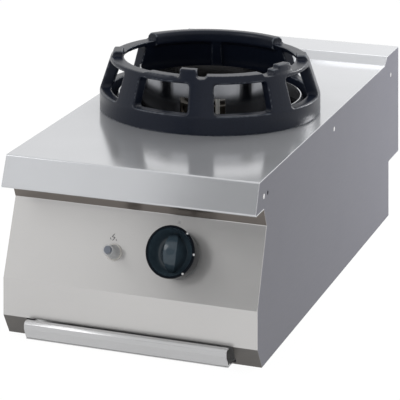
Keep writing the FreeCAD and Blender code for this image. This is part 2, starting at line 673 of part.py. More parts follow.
def tray_runner(side):
    """Sheet runner: a ledge under the tray, a web beside it and a foot on the base rail."""
    web = TRAY_HALF + CLEAR * 2
    top = RAIL_T + RUNNER_T
    front = BASE_FRONT + CROSS_W
    back = TRAY_FRONT + TRAY_LEN + RUNNER_PAST
    runner = fuse([
        box(web - RUNNER_LEDGE, web + RUNNER_FOOT, front, back, RAIL_T, top),
        box(web, web + RUNNER_T, front, back, RAIL_T, RAIL_T + RUNNER_H),
    ])
    return runner if side > 0 else runner.mirror(V(0, 0, 0), V(1, 0, 0))


# ================================================================ wok ring
def ring_outer(height):
    """Outer radius of the ring at a height above the cooktop."""
    return RING_R - max(0.0, height - BAND_H) * RING_LEAN


def ring_profile(points):
    return [(r, COOKTOP_Z + h) for r, h in points]


def window(bay):
    """Cutter for one window: straight radial sides and rounded corners."""
    pitch = 360.0 / POST_COUNT
    middle = POST_TURN + (bay + 0.5) * pitch
    spread = math.tan(math.radians((pitch - POST_ANGLE) / 2.0))
    wires = []
    low, high = COOKTOP_Z + WINDOW_LOW, COOKTOP_Z + WINDOW_HIGH
    for radius in (RIM_INNER_R - RING_WALL, RING_R + RING_WALL):
        half = radius * spread
        corners = [V(x, -radius, z) for x, z in
                   ((-half, low), (half, low), (half, high), (-half, high))]
        edges = []
        for i in range(4):
            point, after = corners[i], corners[(i + 1) % 4]
            back = (corners[i - 1] - point).normalize() * WINDOW_CORNER
            ahead = (after - point).normalize() * WINDOW_CORNER
            bulge = (back + ahead) * (1 - math.sqrt(0.5))
            edges.append(Part.Arc(point + back, point + bulge, point + ahead).toShape())
            edges.append(Part.makeLine(point + ahead, after - ahead))
        wires.append(Part.Wire(edges))
    cutter = Part.makeLoft(wires, True, True)
    cutter.rotate(V(0, 0, 0), V(0, 0, 1), middle)
    cutter.translate(BURNER_AXIS)
    return cutter


def outer_window_edges(ring):
    """Edges where the windows break through the leaning outside of the ring."""
    found = []
    for edge in ring.Edges:
        middle = edge.valueAt((edge.FirstParameter + edge.LastParameter) / 2.0) - BURNER_AXIS
        height = middle.z - COOKTOP_Z
        within = WINDOW_LOW - 0.1 < height < WINDOW_HIGH + 0.1
        if within and abs(math.hypot(middle.x, middle.y) - ring_outer(height)) < 0.1:
            found.append(edge)
    return found


def wok_ring():
    """Cast ring with posts, windows, a rim with raised pads, and a hood over its rear bays."""
    inner_r = RING_R - RING_WALL
    throat = (RIM_INNER_R + THROAT, WINDOW_HIGH)
    body = turned(ring_profile([
        (inner_r, 0.0), (RING_R, 0.0), (RING_R, BAND_H), (ring_outer(RIM_H), RIM_H),
        (RIM_INNER_R, RIM_H), throat, (inner_r, BAND_H)]), BURNER_AXIS)
    open_bays = [bay for bay in range(POST_COUNT) if bay not in HOOD_BAYS]
    body = cut(body, [window(bay) for bay in open_bays])
    body = body.makeFillet(WINDOW_EDGE_R, outer_window_edges(body))
    pads = []
    for first, last, height, from_bore, from_outside in PADS:
        inside = RIM_INNER_R + from_bore
        pads.append(sector(ring_profile([
            (inside, RIM_H - 1.0), (ring_outer(RIM_H - 1.0) - from_outside, RIM_H - 1.0),
            (ring_outer(height) - from_outside, height), (inside, height)]), first, last))
    pitch = 360.0 / POST_COUNT
    hood_from = POST_TURN + HOOD_BAYS[0] * pitch
    hood_to = POST_TURN + (HOOD_BAYS[-1] + 1) * pitch
    roll = LIP_ROLL
    hood = sector(ring_profile([
        (throat[0], WINDOW_HIGH - THROAT), (ring_outer(RIM_H - 1.0), RIM_H - 1.0),
        (ring_outer(HOOD_H - roll), HOOD_H - roll), (ring_outer(HOOD_H) - roll, HOOD_H),
        (LIP_R + roll, HOOD_H), (LIP_R, HOOD_H - roll), (LIP_R, LIP_LOW)]), hood_from, hood_to)
    rib_mid = POST_TURN + HOOD_BAYS[-1] * pitch
    rib = sector(ring_profile([
        (inner_r - RIB_PROUD, WELL_COLLAR_H), (inner_r + 1.0, WELL_COLLAR_H),
        (inner_r + 1.0, BAND_H), (throat[0] + 1.0, throat[1]), (throat[0] - RIB_PROUD, throat[1]),
        (inner_r - RIB_PROUD, BAND_H)]), rib_mid - RIB_ANGLE / 2, rib_mid + RIB_ANGLE / 2)
    return fuse([body, hood, rib] + pads)


def ring_slab(whole, low, high):
    """What lies between two heights above the cooktop."""
    reach = RING_R + REACH
    return whole.common(box(-reach, reach, BURNER_BACK - reach, BURNER_BACK + reach,
                            COOKTOP_Z + low, COOKTOP_Z + high))


def ring_pieces():
    """The cast ring as its base band, posts, closed back and rim, which meet face to face."""
    whole = wok_ring()
    between = sorted(ring_slab(whole, WINDOW_LOW, WINDOW_HIGH).Solids, key=lambda one: one.Volume)
    return {
        "ring_band": ring_slab(whole, -RIM_H, WINDOW_LOW),
        "ring_posts": Part.makeCompound(between[:-1]),
        "ring_back": between[-1],
        "ring_rim": ring_slab(whole, WINDOW_HIGH, 2 * HOOD_H),
    }


# ================================================================ well and burner
def bowl_floor():
    """Floor of the spill bowl, which drains to the tray round the burner."""
    low = BOWL_FLOOR - SHEET
    inside, outside = BOWL_COLLAR_R - SHEET, WELL_R
    floor = turned([(inside, low), (outside, low), (outside, BOWL_FLOOR), (inside, BOWL_FLOOR)],
                   BURNER_AXIS)
    return cut(floor, [
        rod(round_the_burner(PILOT_RADIUS, turn, low - 1),
            round_the_burner(PILOT_RADIUS, turn, BOWL_FLOOR + 1), radius + CLEAR)
        for turn, radius in PILOT_PARTS])


def bowl_collar():
    """Collar that keeps spilt water out of the hole for the burner."""
    inside, top = BOWL_COLLAR_R - SHEET, BOWL_FLOOR + BOWL_COLLAR_H
    return turned([(inside, BOWL_FLOOR), (BOWL_COLLAR_R, BOWL_FLOOR), (BOWL_COLLAR_R, top),
                   (inside, top)], BURNER_AXIS)


def bowl_wall():
    """Upright wall of the spill bowl."""
    inside, top = WELL_R - SHEET, COOKTOP_Z - SHEET
    return turned([(inside, BOWL_FLOOR), (WELL_R, BOWL_FLOOR), (WELL_R, top), (inside, top)],
                  BURNER_AXIS)


def bowl_hanger():
    """Flat ring round the wall that hangs the bowl under the cooktop."""
    high = COOKTOP_Z - SHEET
    outside = COLLAR_FOOT_R + BOWL_FLANGE
    return turned([(WELL_R, high - SHEET), (outside, high - SHEET), (outside, high),
                   (WELL_R, high)], BURNER_AXIS)


def burner_skirt():
    """Upright skirt that guides the flame, high in front, with a cut-out at the pilot."""
    inside = SKIRT_R - SKIRT_WALL
    low, rear, front = BOWL_FLOOR, COOKTOP_Z + SKIRT_REAR_TOP, COOKTOP_Z + SKIRT_TOP
    tube = turned([(inside, low), (SKIRT_R, low), (SKIRT_R, rear), (inside, rear)], BURNER_AXIS)
    screen = sector([(inside, rear), (SKIRT_R, rear), (SKIRT_R, front), (inside, front)],
                    SKIRT_HIGH_FROM, SKIRT_HIGH_TO)
    notch = sector([(inside - 1, low - 1), (SKIRT_R + 1, low - 1),
                    (SKIRT_R + 1, COOKTOP_Z + SKIRT_CUT_TOP),
                    (inside - 1, COOKTOP_Z + SKIRT_CUT_TOP)], SKIRT_CUT_FROM, SKIRT_CUT_TO)
    return fuse([tube, screen]).cut(notch)


def burner_body():
    """Cast floor on a column, with a socket for the mixing tube and a foot on the bracket."""
    low = CHAMBER_Z - CHAMBER_H
    axis = BURNER_AXIS
    floor = rod(axis + V(0, 0, low), axis + V(0, 0, low + CAST_WALL), BURNER_R)
    column = rod(axis + V(0, 0, COLUMN_FOOT), axis + V(0, 0, low), COLUMN_R)
    socket = rod(axis + V(0, 0, VENTURI_Z), axis + V(0, -SOCKET_LEN, VENTURI_Z), COLUMN_R)
    foot = box(-COLUMN_R - 14, COLUMN_R + 14, BURNER_BACK - BRACKET_W / 2,
               BURNER_BACK + BRACKET_W / 2, COLUMN_FOOT - CAST_WALL, COLUMN_FOOT + 1)
    riser = rod(axis + V(0, 0, VENTURI_Z), axis + V(0, 0, low + 2 * CAST_WALL), COLUMN_BORE)
    inlet = rod(axis + V(0, 0, VENTURI_Z), axis + V(0, -SOCKET_LEN, VENTURI_Z), COLUMN_BORE)
    return cut(fuse([floor, column, socket, foot]), [riser, inlet])


def burner_chamber():
    """Wall of the gas chamber between the floor and the port ring."""
    low, inside = CHAMBER_Z - CHAMBER_H + CAST_WALL, BURNER_R - CAST_WALL
    return turned([(inside, low), (BURNER_R, low), (BURNER_R, CHAMBER_Z), (inside, CHAMBER_Z)],
                  BURNER_AXIS)


def venturi_tube():
    """Mixing tube with a bell mouth in front of the injector."""
    back = BURNER_BACK - SOCKET_LEN
    front = BELL_Y
    bore = VENTURI_R - 3.0
    throat = VENTURI_R - 6.0
    profile = [(bore, back), (VENTURI_R + 3, back), (VENTURI_R + 3, back - 8), (VENTURI_R, back - 8),
               (VENTURI_R, front + 40), (BELL_R, front), (BELL_R - 3, front),
               (throat, front + 42), (throat, front + 80)]
    loop = [V(r, y, 0) for r, y in profile]
    face = Part.Face(Part.makePolygon(loop + loop[:1]))
    tube = face.revolve(V(0, 0, 0), V(0, 1, 0), 360)
    tube.translate(V(0, 0, VENTURI_Z))
    return tube


def burner_crown():
    """Port ring on the chamber: radial slots let the flame out."""
    low, high = CHAMBER_Z, CHAMBER_Z + CROWN_H
    crown = turned([(CROWN_HOLE_R, low), (BURNER_R, low), (BURNER_R - 4, high),
                    (CROWN_HOLE_R, high)], BURNER_AXIS)
    slots = []
    for i in range(PORTS):
        slot = box(CROWN_HOLE_R + 8, BURNER_R + 5, -PORT_W / 2, PORT_W / 2, low + 8, high - 4)
        slot.rotate(V(0, 0, 0), V(0, 0, 1), i * 360.0 / PORTS)
        slot.translate(BURNER_AXIS)
        slots.append(slot)
    return cut(crown, slots)


def burner_cap():
    """Loose cap that covers the centre of the port ring."""
    low = CHAMBER_Z + CROWN_H + CLEAR
    return turned([(0, low - SPIGOT_H), (CROWN_HOLE_R - 1, low - SPIGOT_H), (CROWN_HOLE_R - 1, low),
                   (CAP_R, low), (CAP_R, low + CAP_H - 3), (CAP_R - 6, low + CAP_H), (0, low + CAP_H)],
                  BURNER_AXIS)


def burner_bracket():
    """Strap across the casing that carries the burner."""
    top = COLUMN_FOOT - CAST_WALL
    y0, y1 = BURNER_BACK - BRACKET_W / 2, BURNER_BACK + BRACKET_W / 2
    strap = [box(-INNER, INNER, y0, y1, top - BRACKET_T, top)]
    for side in (-1, 1):
        a, b = side * INNER, side * (INNER - BRACKET_T)
        strap.append(box(min(a, b), max(a, b), y0, y1, top - BRACKET_T, top + BRACKET_END))
    return fuse(strap)


def jet_point(back):
    """Point on the axis of the injector, behind the middle of its holder."""
    return V(0, HOLDER_Y + back, VENTURI_Z)


def injector_holder():
    """Elbow that turns the gas into the mixing tube; a lug hangs it on the heat shield."""
    low, high = VENTURI_Z - HOLDER_H, VENTURI_Z + HOLDER_H
    front = SHIELD_Y + SHIELD_T
    wing = BELL_R + HOLDER_WING
    block = box(-HOLDER_W, HOLDER_W, front, HOLDER_Y + HOLDER_HALF, low, high)
    wings = box(-wing, wing, front, front + HOLDER_WING_T, low, high)
    return fuse([block, wings]).cut(rod(jet_point(0), jet_point(2 * HOLDER_HALF), JET_R))


def injector():
    """Brass jet, screwed into the holder, with a fine hole in its nose."""
    hexagon = HOLDER_HALF + JET_HEX
    nose = hexagon + JET_NOSE
    return fuse([
        rod(jet_point(JET_SEAT), jet_point(HOLDER_HALF), JET_R),
        rod(jet_point(HOLDER_HALF), jet_point(hexagon), JET_HEX_R),
        rod(jet_point(hexagon), jet_point(nose), JET_NOSE_R),
    ]).cut(rod(jet_point(0), jet_point(nose + 1), JET_HOLE_R))


def pilot_bracket():
    """Plate on the floor of the bowl that holds the three pilot parts upright."""
    low, high = BOWL_FLOOR, BOWL_FLOOR + PILOT_PLATE_T
    inside, outside = PILOT_RADIUS - PILOT_PLATE_HALF, PILOT_RADIUS + PILOT_PLATE_HALF
    plate = sector([(inside, low), (outside, low), (outside, high), (inside, high)],
                   PILOT_TURN - PILOT_PLATE_END, PROBE_TURN + PILOT_PLATE_END)
    return cut(plate, [
        rod(round_the_burner(PILOT_RADIUS, turn, low - 1),
            round_the_burner(PILOT_RADIUS, turn, high + 1), radius)
        for turn, radius in PILOT_PARTS])


def pilot_part(turn, radius, height):
    return rod(round_the_burner(PILOT_RADIUS, turn, PILOT_LOW),
               round_the_burner(PILOT_RADIUS, turn, COOKTOP_Z + height), radius)


def pilot_burner():
    """Pilot tube with a hood whose slot looks at the burner."""
    wall = PILOT_HOOD_WALL
    foot = COOKTOP_Z + PILOT_TOP
    slot_z = foot + PILOT_HOOD_H / 2 - wall / 2
    body = pilot_part(PILOT_TURN, PILOT_R, PILOT_TOP)
    hood = rod(round_the_burner(PILOT_RADIUS, PILOT_TURN, foot),
               round_the_burner(PILOT_RADIUS, PILOT_TURN, foot + PILOT_HOOD_H), PILOT_R + wall)
    bore = rod(round_the_burner(PILOT_RADIUS, PILOT_TURN, foot - PILOT_HOOD_H / 2),
               round_the_burner(PILOT_RADIUS, PILOT_TURN, foot + PILOT_HOOD_H - wall),
               PILOT_R - wall)
    slot = rod(round_the_burner(PILOT_RADIUS, PILOT_TURN, slot_z),
               round_the_burner(PILOT_RADIUS - 2 * PILOT_R, PILOT_TURN, slot_z), PILOT_SLOT_R)
    return cut(fuse([body, hood]), [bore, slot])


def spark_electrode():
    """Ceramic rod with a wire that bends towards the pilot."""
    top = COOKTOP_Z + SPARK_TOP
    wire = rod(round_the_burner(PILOT_RADIUS, SPARK_TURN, top),
               round_the_burner(PILOT_RADIUS, SPARK_TURN + SPARK_WIRE_TURN, top + SPARK_WIRE_H),
               SPARK_WIRE_R)
    return fuse([pilot_part(SPARK_TURN, SPARK_R, SPARK_TOP), wire])


# ================================================================ controls
def lens(half_width, half_length, z):
    """Almond outline: two equal arcs that meet in points."""
    tips = V(0, -half_length, z), V(0, half_length, z)
    right = Part.Arc(tips[0], V(half_width, 0, z), tips[1]).toShape()
    left = Part.Arc(tips[1], V(-half_width, 0, z), tips[0]).toShape()
    return Part.Wire([right, left])


def knob_drum():
    """Body of the knob, wider in front, with a rounded front edge."""
    shoulder = KNOB_FRONT - KNOB_EDGE_R
    inward = KNOB_EDGE_R * (1 - math.sqrt(0.5))
    corners = [V(0, 0, KNOB_FRONT), V(0, 0, KNOB_GAP), V(KNOB_BACK_R, 0, KNOB_GAP),
               V(KNOB_R, 0, shoulder)]
    inner_edge = V(KNOB_R - KNOB_EDGE_R, 0, KNOB_FRONT)
    round_edge = Part.Arc(corners[3], V(KNOB_R - inward, 0, KNOB_FRONT - inward), inner_edge)
    edges = [Part.makeLine(a, b) for a, b in zip(corners, corners[1:])]
    edges += [round_edge.toShape(), Part.makeLine(inner_edge, corners[0])]
    return Part.Face(Part.Wire(edges)).revolve(V(0, 0, 0), V(0, 0, 1), 360)


def knob():
    """Round knob with a deep hollow front and an arched, almond-shaped grip across it."""
    floor = KNOB_FRONT - DISH_DEPTH
    crest = KNOB_FRONT + GRIP_CREST
    dish = Part.makeCone(DISH_FLOOR_R, DISH_RIM, DISH_DEPTH, V(0, 0, floor))
    floor_edge = [e for e in dish.Edges if abs(e.BoundBox.ZMax - floor) < 0.01]
    dish = dish.makeFillet(DISH_CORNER, floor_edge)
    hollow_top = floor - KNOB_SHELL
    hollow = Part.makeCylinder(KNOB_BACK_R - KNOB_SHELL, hollow_top - KNOB_GAP, V(0, 0, KNOB_GAP))
    hub = Part.makeCylinder(HUB_R, hollow_top - KNOB_GAP + 1, V(0, 0, KNOB_GAP))
    blade = Part.makeLoft([lens(GRIP_FOOT_W, GRIP_HALF, floor - 1),
                           lens(GRIP_TOP_W, GRIP_HALF, crest)], True, True)
    arch = Part.makeCylinder(GRIP_ARCH, 2 * KNOB_R, V(-KNOB_R, 0, crest - GRIP_ARCH), V(1, 0, 0))
    whole = fuse([knob_drum().cut(dish).cut(hollow), hub, blade.common(arch)])
    bore = Part.makeCylinder(STEM_R + RUNNING, STEM_TOP - KNOB_GAP, V(0, 0, KNOB_GAP))
    return on_panel(whole.cut(bore), KNOB_X, KNOB_S)


def valve_stem():
    """Stem of the tap; its front end carries the knob."""
    stem = Part.makeCylinder(STEM_R, STEM_BACK + STEM_TOP, V(0, 0, -STEM_BACK))
    return on_panel(stem, KNOB_X, KNOB_S)


def push_rod():
    """Rod inside the tap that opens the pilot when the knob is pushed."""
    length = VALVE_FRONT + VALVE_LEN - STEM_BACK - PUSH_TRAVEL - VALVE_END - ROD_R
    plunger = Part.makeCylinder(ROD_R, length, V(0, 0, -STEM_BACK - length))
    return on_panel(plunger, KNOB_X, KNOB_S)


def gas_valve():
    """Tap body with bosses for the gas inlet and the pilot, and a bore for stem and rod."""
    half = VALVE_W / 2
    back = -VALVE_FRONT - VALVE_LEN
    body = Part.makeBox(VALVE_W, VALVE_W, VALVE_LEN, V(-half, -half, back))
    boss = Part.makeCylinder(BOSS_R, BOSS_LEN, V(half, 0, back + INLET_BOSS), V(1, 0, 0))
    gland = Part.makeCylinder(GLAND_R, VALVE_FRONT - SHEET - BRACKET_SHEET - 1,
                              V(0, 0, -VALVE_FRONT))
    stem_bore = Part.makeCylinder(STEM_R + RUNNING, STEM_BACK + PUSH_TRAVEL + 1,
                                  V(0, 0, -STEM_BACK - PUSH_TRAVEL - 1))
    rod_bore = Part.makeCylinder(ROD_R + RUNNING, VALVE_FRONT + VALVE_LEN - STEM_BACK - VALVE_END,
                                 V(0, 0, back + VALVE_END))
    return on_panel(cut(fuse([body, boss, gland]), [stem_bore, rod_bore]), KNOB_X, KNOB_S)


def valve_bracket():
    """Plate that hangs the tap on the back of the panel."""
    half = VALVE_W / 2
    reach = half + BRACKET_REACH
    sheet = BRACKET_SHEET
    pieces = [Part.makeBox(2 * reach, VALVE_W, sheet, V(-reach, -half, -VALVE_FRONT))]
    for side in (-1, 1):
        leg, foot = side * (reach - sheet), side * (reach - sheet + BRACKET_FOOT)
        pieces.append(box(min(leg, side * reach), max(leg, side * reach), -half, half,
                          -VALVE_FRONT, -SHEET))
        pieces.append(box(min(leg, foot), max(leg, foot), -half, half, -SHEET - sheet, -SHEET))
    hole = Part.makeCylinder(GLAND_R, 2 * sheet, V(0, 0, -VALVE_FRONT - sheet / 2))
    return on_panel(fuse(pieces).cut(hole), KNOB_X, KNOB_S)


def igniter_body():
    """Barrel of the push igniter, through the panel, with a bore for its button."""
    barrel = Part.makeCylinder(IGNITER_R - RUNNING, IGNITER_LEN + SHEET + NUT_T,
                               V(0, 0, -IGNITER_LEN - SHEET))
    flange = Part.makeCylinder(NUT_R, FLANGE_T, V(0, 0, -SHEET - FLANGE_T))
    bore = Part.makeCylinder(BUTTON_R + CLEAR, BUTTON_WELL, V(0, 0, NUT_T - BUTTON_WELL))
    return on_panel(fuse([barrel, flange]).cut(bore), IGNITER_X, IGNITER_S)


def igniter_nut():
    """Round nut outside the panel."""
    nut = Part.makeCylinder(NUT_R, NUT_T, V(0, 0, 0))
    return on_panel(nut.cut(Part.makeCylinder(IGNITER_R, NUT_T, V(0, 0, 0))), IGNITER_X, IGNITER_S)


def igniter_sleeve():
    """Clear sleeve round the button."""
    sleeve = Part.makeCone(NUT_R - SLEEVE_SET_IN, SLEEVE_R, SLEEVE_FRONT - NUT_T, V(0, 0, NUT_T))
    bore = Part.makeCylinder(BUTTON_R + CLEAR, SLEEVE_FRONT, V(0, 0, NUT_T - 1))
    return on_panel(sleeve.cut(bore), IGNITER_X, IGNITER_S)


def igniter_button():
    """Button that strikes the spark."""
    low = NUT_T - BUTTON_WELL + BUTTON_TRAVEL + 1
    button = Part.makeCylinder(BUTTON_R, BUTTON_FRONT - low, V(0, 0, low))
    face = [e for e in button.Edges if abs(e.BoundBox.ZMin - BUTTON_FRONT) < 0.01]
    return on_panel(button.makeFillet(BUTTON_EDGE_R, face), IGNITER_X, IGNITER_S)


# ================================================================ gas inlet
def inlet_point(y):
    return V(INLET_X, y, INLET_Z)


def gas_inlet():
    """Threaded half-inch connection in the step at the rear, with a neck through the panel."""
    inside, thread = RECESS_Y - SHEET, RECESS_Y + INLET_NUT_T
    neck = rod(inlet_point(inside), inlet_point(thread), INLET_NECK_R)
    stub = rod(inlet_point(thread), inlet_point(INLET_END), INLET_R)
    bore = rod(inlet_point(inside), inlet_point(INLET_END), GAS_PIPE_R)
    return fuse([neck, stub]).cut(bore)


def inlet_nut():
    """Lock nut of the connection, against the back panel."""
    corners = []
    for i in range(7):
        angle = math.radians(60 * i)
        corners.append(inlet_point(RECESS_Y) + V(INLET_NUT_R * math.cos(angle), 0,
                                                 INLET_NUT_R * math.sin(angle)))
    nut = Part.Face(Part.makePolygon(corners)).extrude(V(0, INLET_NUT_T, 0))
    return nut.cut(rod(inlet_point(RECESS_Y), inlet_point(RECESS_Y + INLET_NUT_T),
                       INLET_NECK_R + RUNNING))


def main():
    os.makedirs("parts", exist_ok=True)
    skin = casing_skin()
    pieces = {
        "cooktop": cooktop(skin),
        "well_collar": well_collar(),
        "control_panel": control_panel(skin),
        "toe_panel": toe_panel(skin),
        "rear_upstand": rear_upstand(skin),
        "back_panel": back_panel(skin),
        "side_panel_left": side_panel(-1),
        "side_panel_right": side_panel(1),
        "link_screws": link_screws(),
        "base_foot_left": base_foot(-1),
        "base_foot_right": base_foot(1),
        "base_web_left": base_web(-1),
        "base_web_right": base_web(1),
        "base_front": base_front(),
        "base_rear": base_rear(),
        "heat_shield": heat_shield(),
        "drip_tray": drip_tray(),
        "tray_handle": tray_handle(),
        "tray_runner_left": tray_runner(-1),
        "tray_runner_right": tray_runner(1),
        "bowl_floor": bowl_floor(),
        "bowl_collar": bowl_collar(),
        "bowl_wall": bowl_wall(),
        "bowl_hanger": bowl_hanger(),
        "burner_skirt": burner_skirt(),
        "burner_body": burner_body(),
        "burner_chamber": burner_chamber(),
        "venturi_tube": venturi_tube(),
        "burner_crown": burner_crown(),
        "burner_cap": burner_cap(),
        "burner_bracket": burner_bracket(),
        "injector_holder": injector_holder(),
        "injector": injector(),
        "pilot_bracket": pilot_bracket(),
        "pilot_burner": pilot_burner(),
        "spark_electrode": spark_electrode(),
        "thermocouple": pilot_part(PROBE_TURN, PROBE_R, PROBE_TOP),
        "gas_manifold": route("gas_manifold"),
        "feed_pipe": route("feed_pipe"),
        "pilot_pipe": route("pilot_pipe"),
        "probe_lead": route("probe_lead"),
        "ignition_lead": route("ignition_lead"),
        "knob": knob(),
        "valve_stem": valve_stem(),
        "push_rod": push_rod(),
        "gas_valve": gas_valve(),
        "valve_bracket": valve_bracket(),
        "igniter_body": igniter_body(),
        "igniter_nut": igniter_nut(),
        "igniter_sleeve": igniter_sleeve(),
        "igniter_button": igniter_button(),
        "gas_inlet": gas_inlet(),
        "inlet_nut": inlet_nut(),
    }
    pieces.update(ring_pieces())
    for name, shape in pieces.items():
        export(name, shape)
        size = shape.BoundBox
        print("%-18s solids %d  valid %s  volume %.0f  x %.1f..%.1f y %.1f..%.1f z %.1f..%.1f" % (
            name, len(shape.Solids), shape.isValid(), shape.Volume, size.XMin, size.XMax,
            size.YMin, size.YMax, size.ZMin, size.ZMax))


main()
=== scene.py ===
# %% [markdown]
# # A gas wok range for a counter
#
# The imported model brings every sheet, casting and pipe as a mesh in metres, with +Z up, +Y away
# from the cook and the middle of the footprint at the origin. This lesson dresses it: a camera,
# a pale floor and soft light first, then the finishes, then the few pieces whose surface has to
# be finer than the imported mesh. Sizes are written in millimetres, as on a workshop drawing.

# %% Load the frame
import json
import math
import bmesh
import bpy
import numpy as np
from mathutils import Matrix, Vector


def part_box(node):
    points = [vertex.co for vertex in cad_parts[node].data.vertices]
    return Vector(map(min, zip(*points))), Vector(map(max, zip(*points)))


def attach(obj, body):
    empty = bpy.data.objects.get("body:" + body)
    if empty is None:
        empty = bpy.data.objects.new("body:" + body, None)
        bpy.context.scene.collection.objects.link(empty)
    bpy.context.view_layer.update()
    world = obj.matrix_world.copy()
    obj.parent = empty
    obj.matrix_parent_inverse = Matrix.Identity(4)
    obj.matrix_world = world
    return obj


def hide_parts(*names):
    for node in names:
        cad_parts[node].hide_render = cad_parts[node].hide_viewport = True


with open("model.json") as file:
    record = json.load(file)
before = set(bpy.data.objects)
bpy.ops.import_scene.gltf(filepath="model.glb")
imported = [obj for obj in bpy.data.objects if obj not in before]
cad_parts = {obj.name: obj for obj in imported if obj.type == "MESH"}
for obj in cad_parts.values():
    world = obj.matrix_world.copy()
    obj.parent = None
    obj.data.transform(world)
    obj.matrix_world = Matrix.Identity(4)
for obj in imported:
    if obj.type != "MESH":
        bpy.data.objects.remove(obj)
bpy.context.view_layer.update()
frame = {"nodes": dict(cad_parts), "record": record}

MM = 0.001

# %% [markdown]
# Every measure on the front is taken from the upright facia, the plane that the sheet under the
# leaning panel lies in. The panel leans back from the fold at its lower edge up to the strip
# behind the nosing, so one plane and a few heights place everything that is added on the front.

# %% Datums
FACIA_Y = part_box("control_panel")[0].y / MM
CREASE_Z, PANEL_TOP_Z, PANEL_DEPTH = 88.7, 200.0, 47.2
PANEL_LEAN = math.atan2(PANEL_TOP_Z - CREASE_Z, PANEL_DEPTH)
RECESS_FOOT = 200.6


def on_panel(x, s, out):
    """Point on the leaning panel: x across, s up the sheet from its lower fold, out from it."""
    y = FACIA_Y + s * math.cos(PANEL_LEAN) - out * math.sin(PANEL_LEAN)
    z = CREASE_Z + s * math.sin(PANEL_LEAN) + out * math.cos(PANEL_LEAN)
    return np.stack(np.broadcast_arrays(x, y, z), axis=-1) * MM


print("facia at", round(FACIA_Y, 2), "lean", round(math.degrees(PANEL_LEAN), 1))

# %% [markdown]
# ## Camera
#
# Product photographs are often taken with a long lens held level, so that uprights stay
# upright, and the frame is then a cut out of a larger picture. A plain camera aimed at the
# object would make the uprights lean together. Here the camera looks level, and the oblique
# matrix of its stand slides the picture sideways and down, which is what such a cut does.

# %% Camera on its stand
YAW = 0.3841
PICTURE_PX, SENSOR_MM = 400.0, 36.0
FOCAL_PX = 2227.86
CENTRE_PX = (50.27, -461.50)
CAMERA_AT = Vector((1131.56, -3105.05 + FACIA_Y, 1209.49)) * MM

ahead = Vector((-math.sin(YAW), math.cos(YAW), 0.0))
right = Vector((math.cos(YAW), math.sin(YAW), 0.0))
up = Vector((0.0, 0.0, 1.0))
half = PICTURE_PX / 2
middle = ahead + right * ((half - CENTRE_PX[0]) / FOCAL_PX) + up * ((CENTRE_PX[1] - half) / FOCAL_PX)
stretch = middle.length

camera_data = bpy.data.cameras.new("camera")
camera_data.sensor_width = SENSOR_MM
camera_data.lens = SENSOR_MM * FOCAL_PX * stretch / PICTURE_PX
camera_data.clip_end = 60.0
camera = bpy.data.objects.new("camera", camera_data)
stand = bpy.data.objects.new("camera_stand", None)
for obj in (camera, stand):
    bpy.context.scene.collection.objects.link(obj)
camera.parent = stand
columns = (right, up, -middle / stretch, CAMERA_AT)
camera.matrix_parent_inverse = Matrix(
    [[column[row] for column in columns] for row in range(3)] + [[0, 0, 0, 1]])
bpy.context.scene.camera = camera
print("lens", round(camera_data.lens, 1), "mm")

# %% [markdown]
# ## Shader maths as arithmetic
#
# A procedural finish is mostly arithmetic on numbers that change over a surface. Wired by hand,
# each sum is a node and two links. The small class below wraps one output of a node, so that
# `0.2 + grain * 0.1` in Python adds the Math nodes itself. Every other kind of node comes from
# one method that takes its type, its settings and what goes into its sockets.

# %% Value and Finish
class Value:
    """One output of a shader node. Arithmetic on it adds Math nodes."""

    def __init__(self, finish, socket):
        self.finish = finish
        self.socket = socket

    def math(self, operation, *values):
        inputs = dict(enumerate(values))
        return self.finish.node("ShaderNodeMath", {"operation": operation}, inputs)

    def __add__(self, other):
        return self.math("ADD", self, other)

    def __sub__(self, other):
        return self.math("SUBTRACT", self, other)

    def __mul__(self, other):
        return self.math("MULTIPLY", self, other)

    def __gt__(self, other):
        return self.math("GREATER_THAN", self, other)

    def maximum(self, other):
        return self.math("MAXIMUM", self, other)

    __radd__ = __add__

    def clamp(self):
        """The value held between 0 and 1."""
        return self.finish.node("ShaderNodeClamp", {}, {0: self})


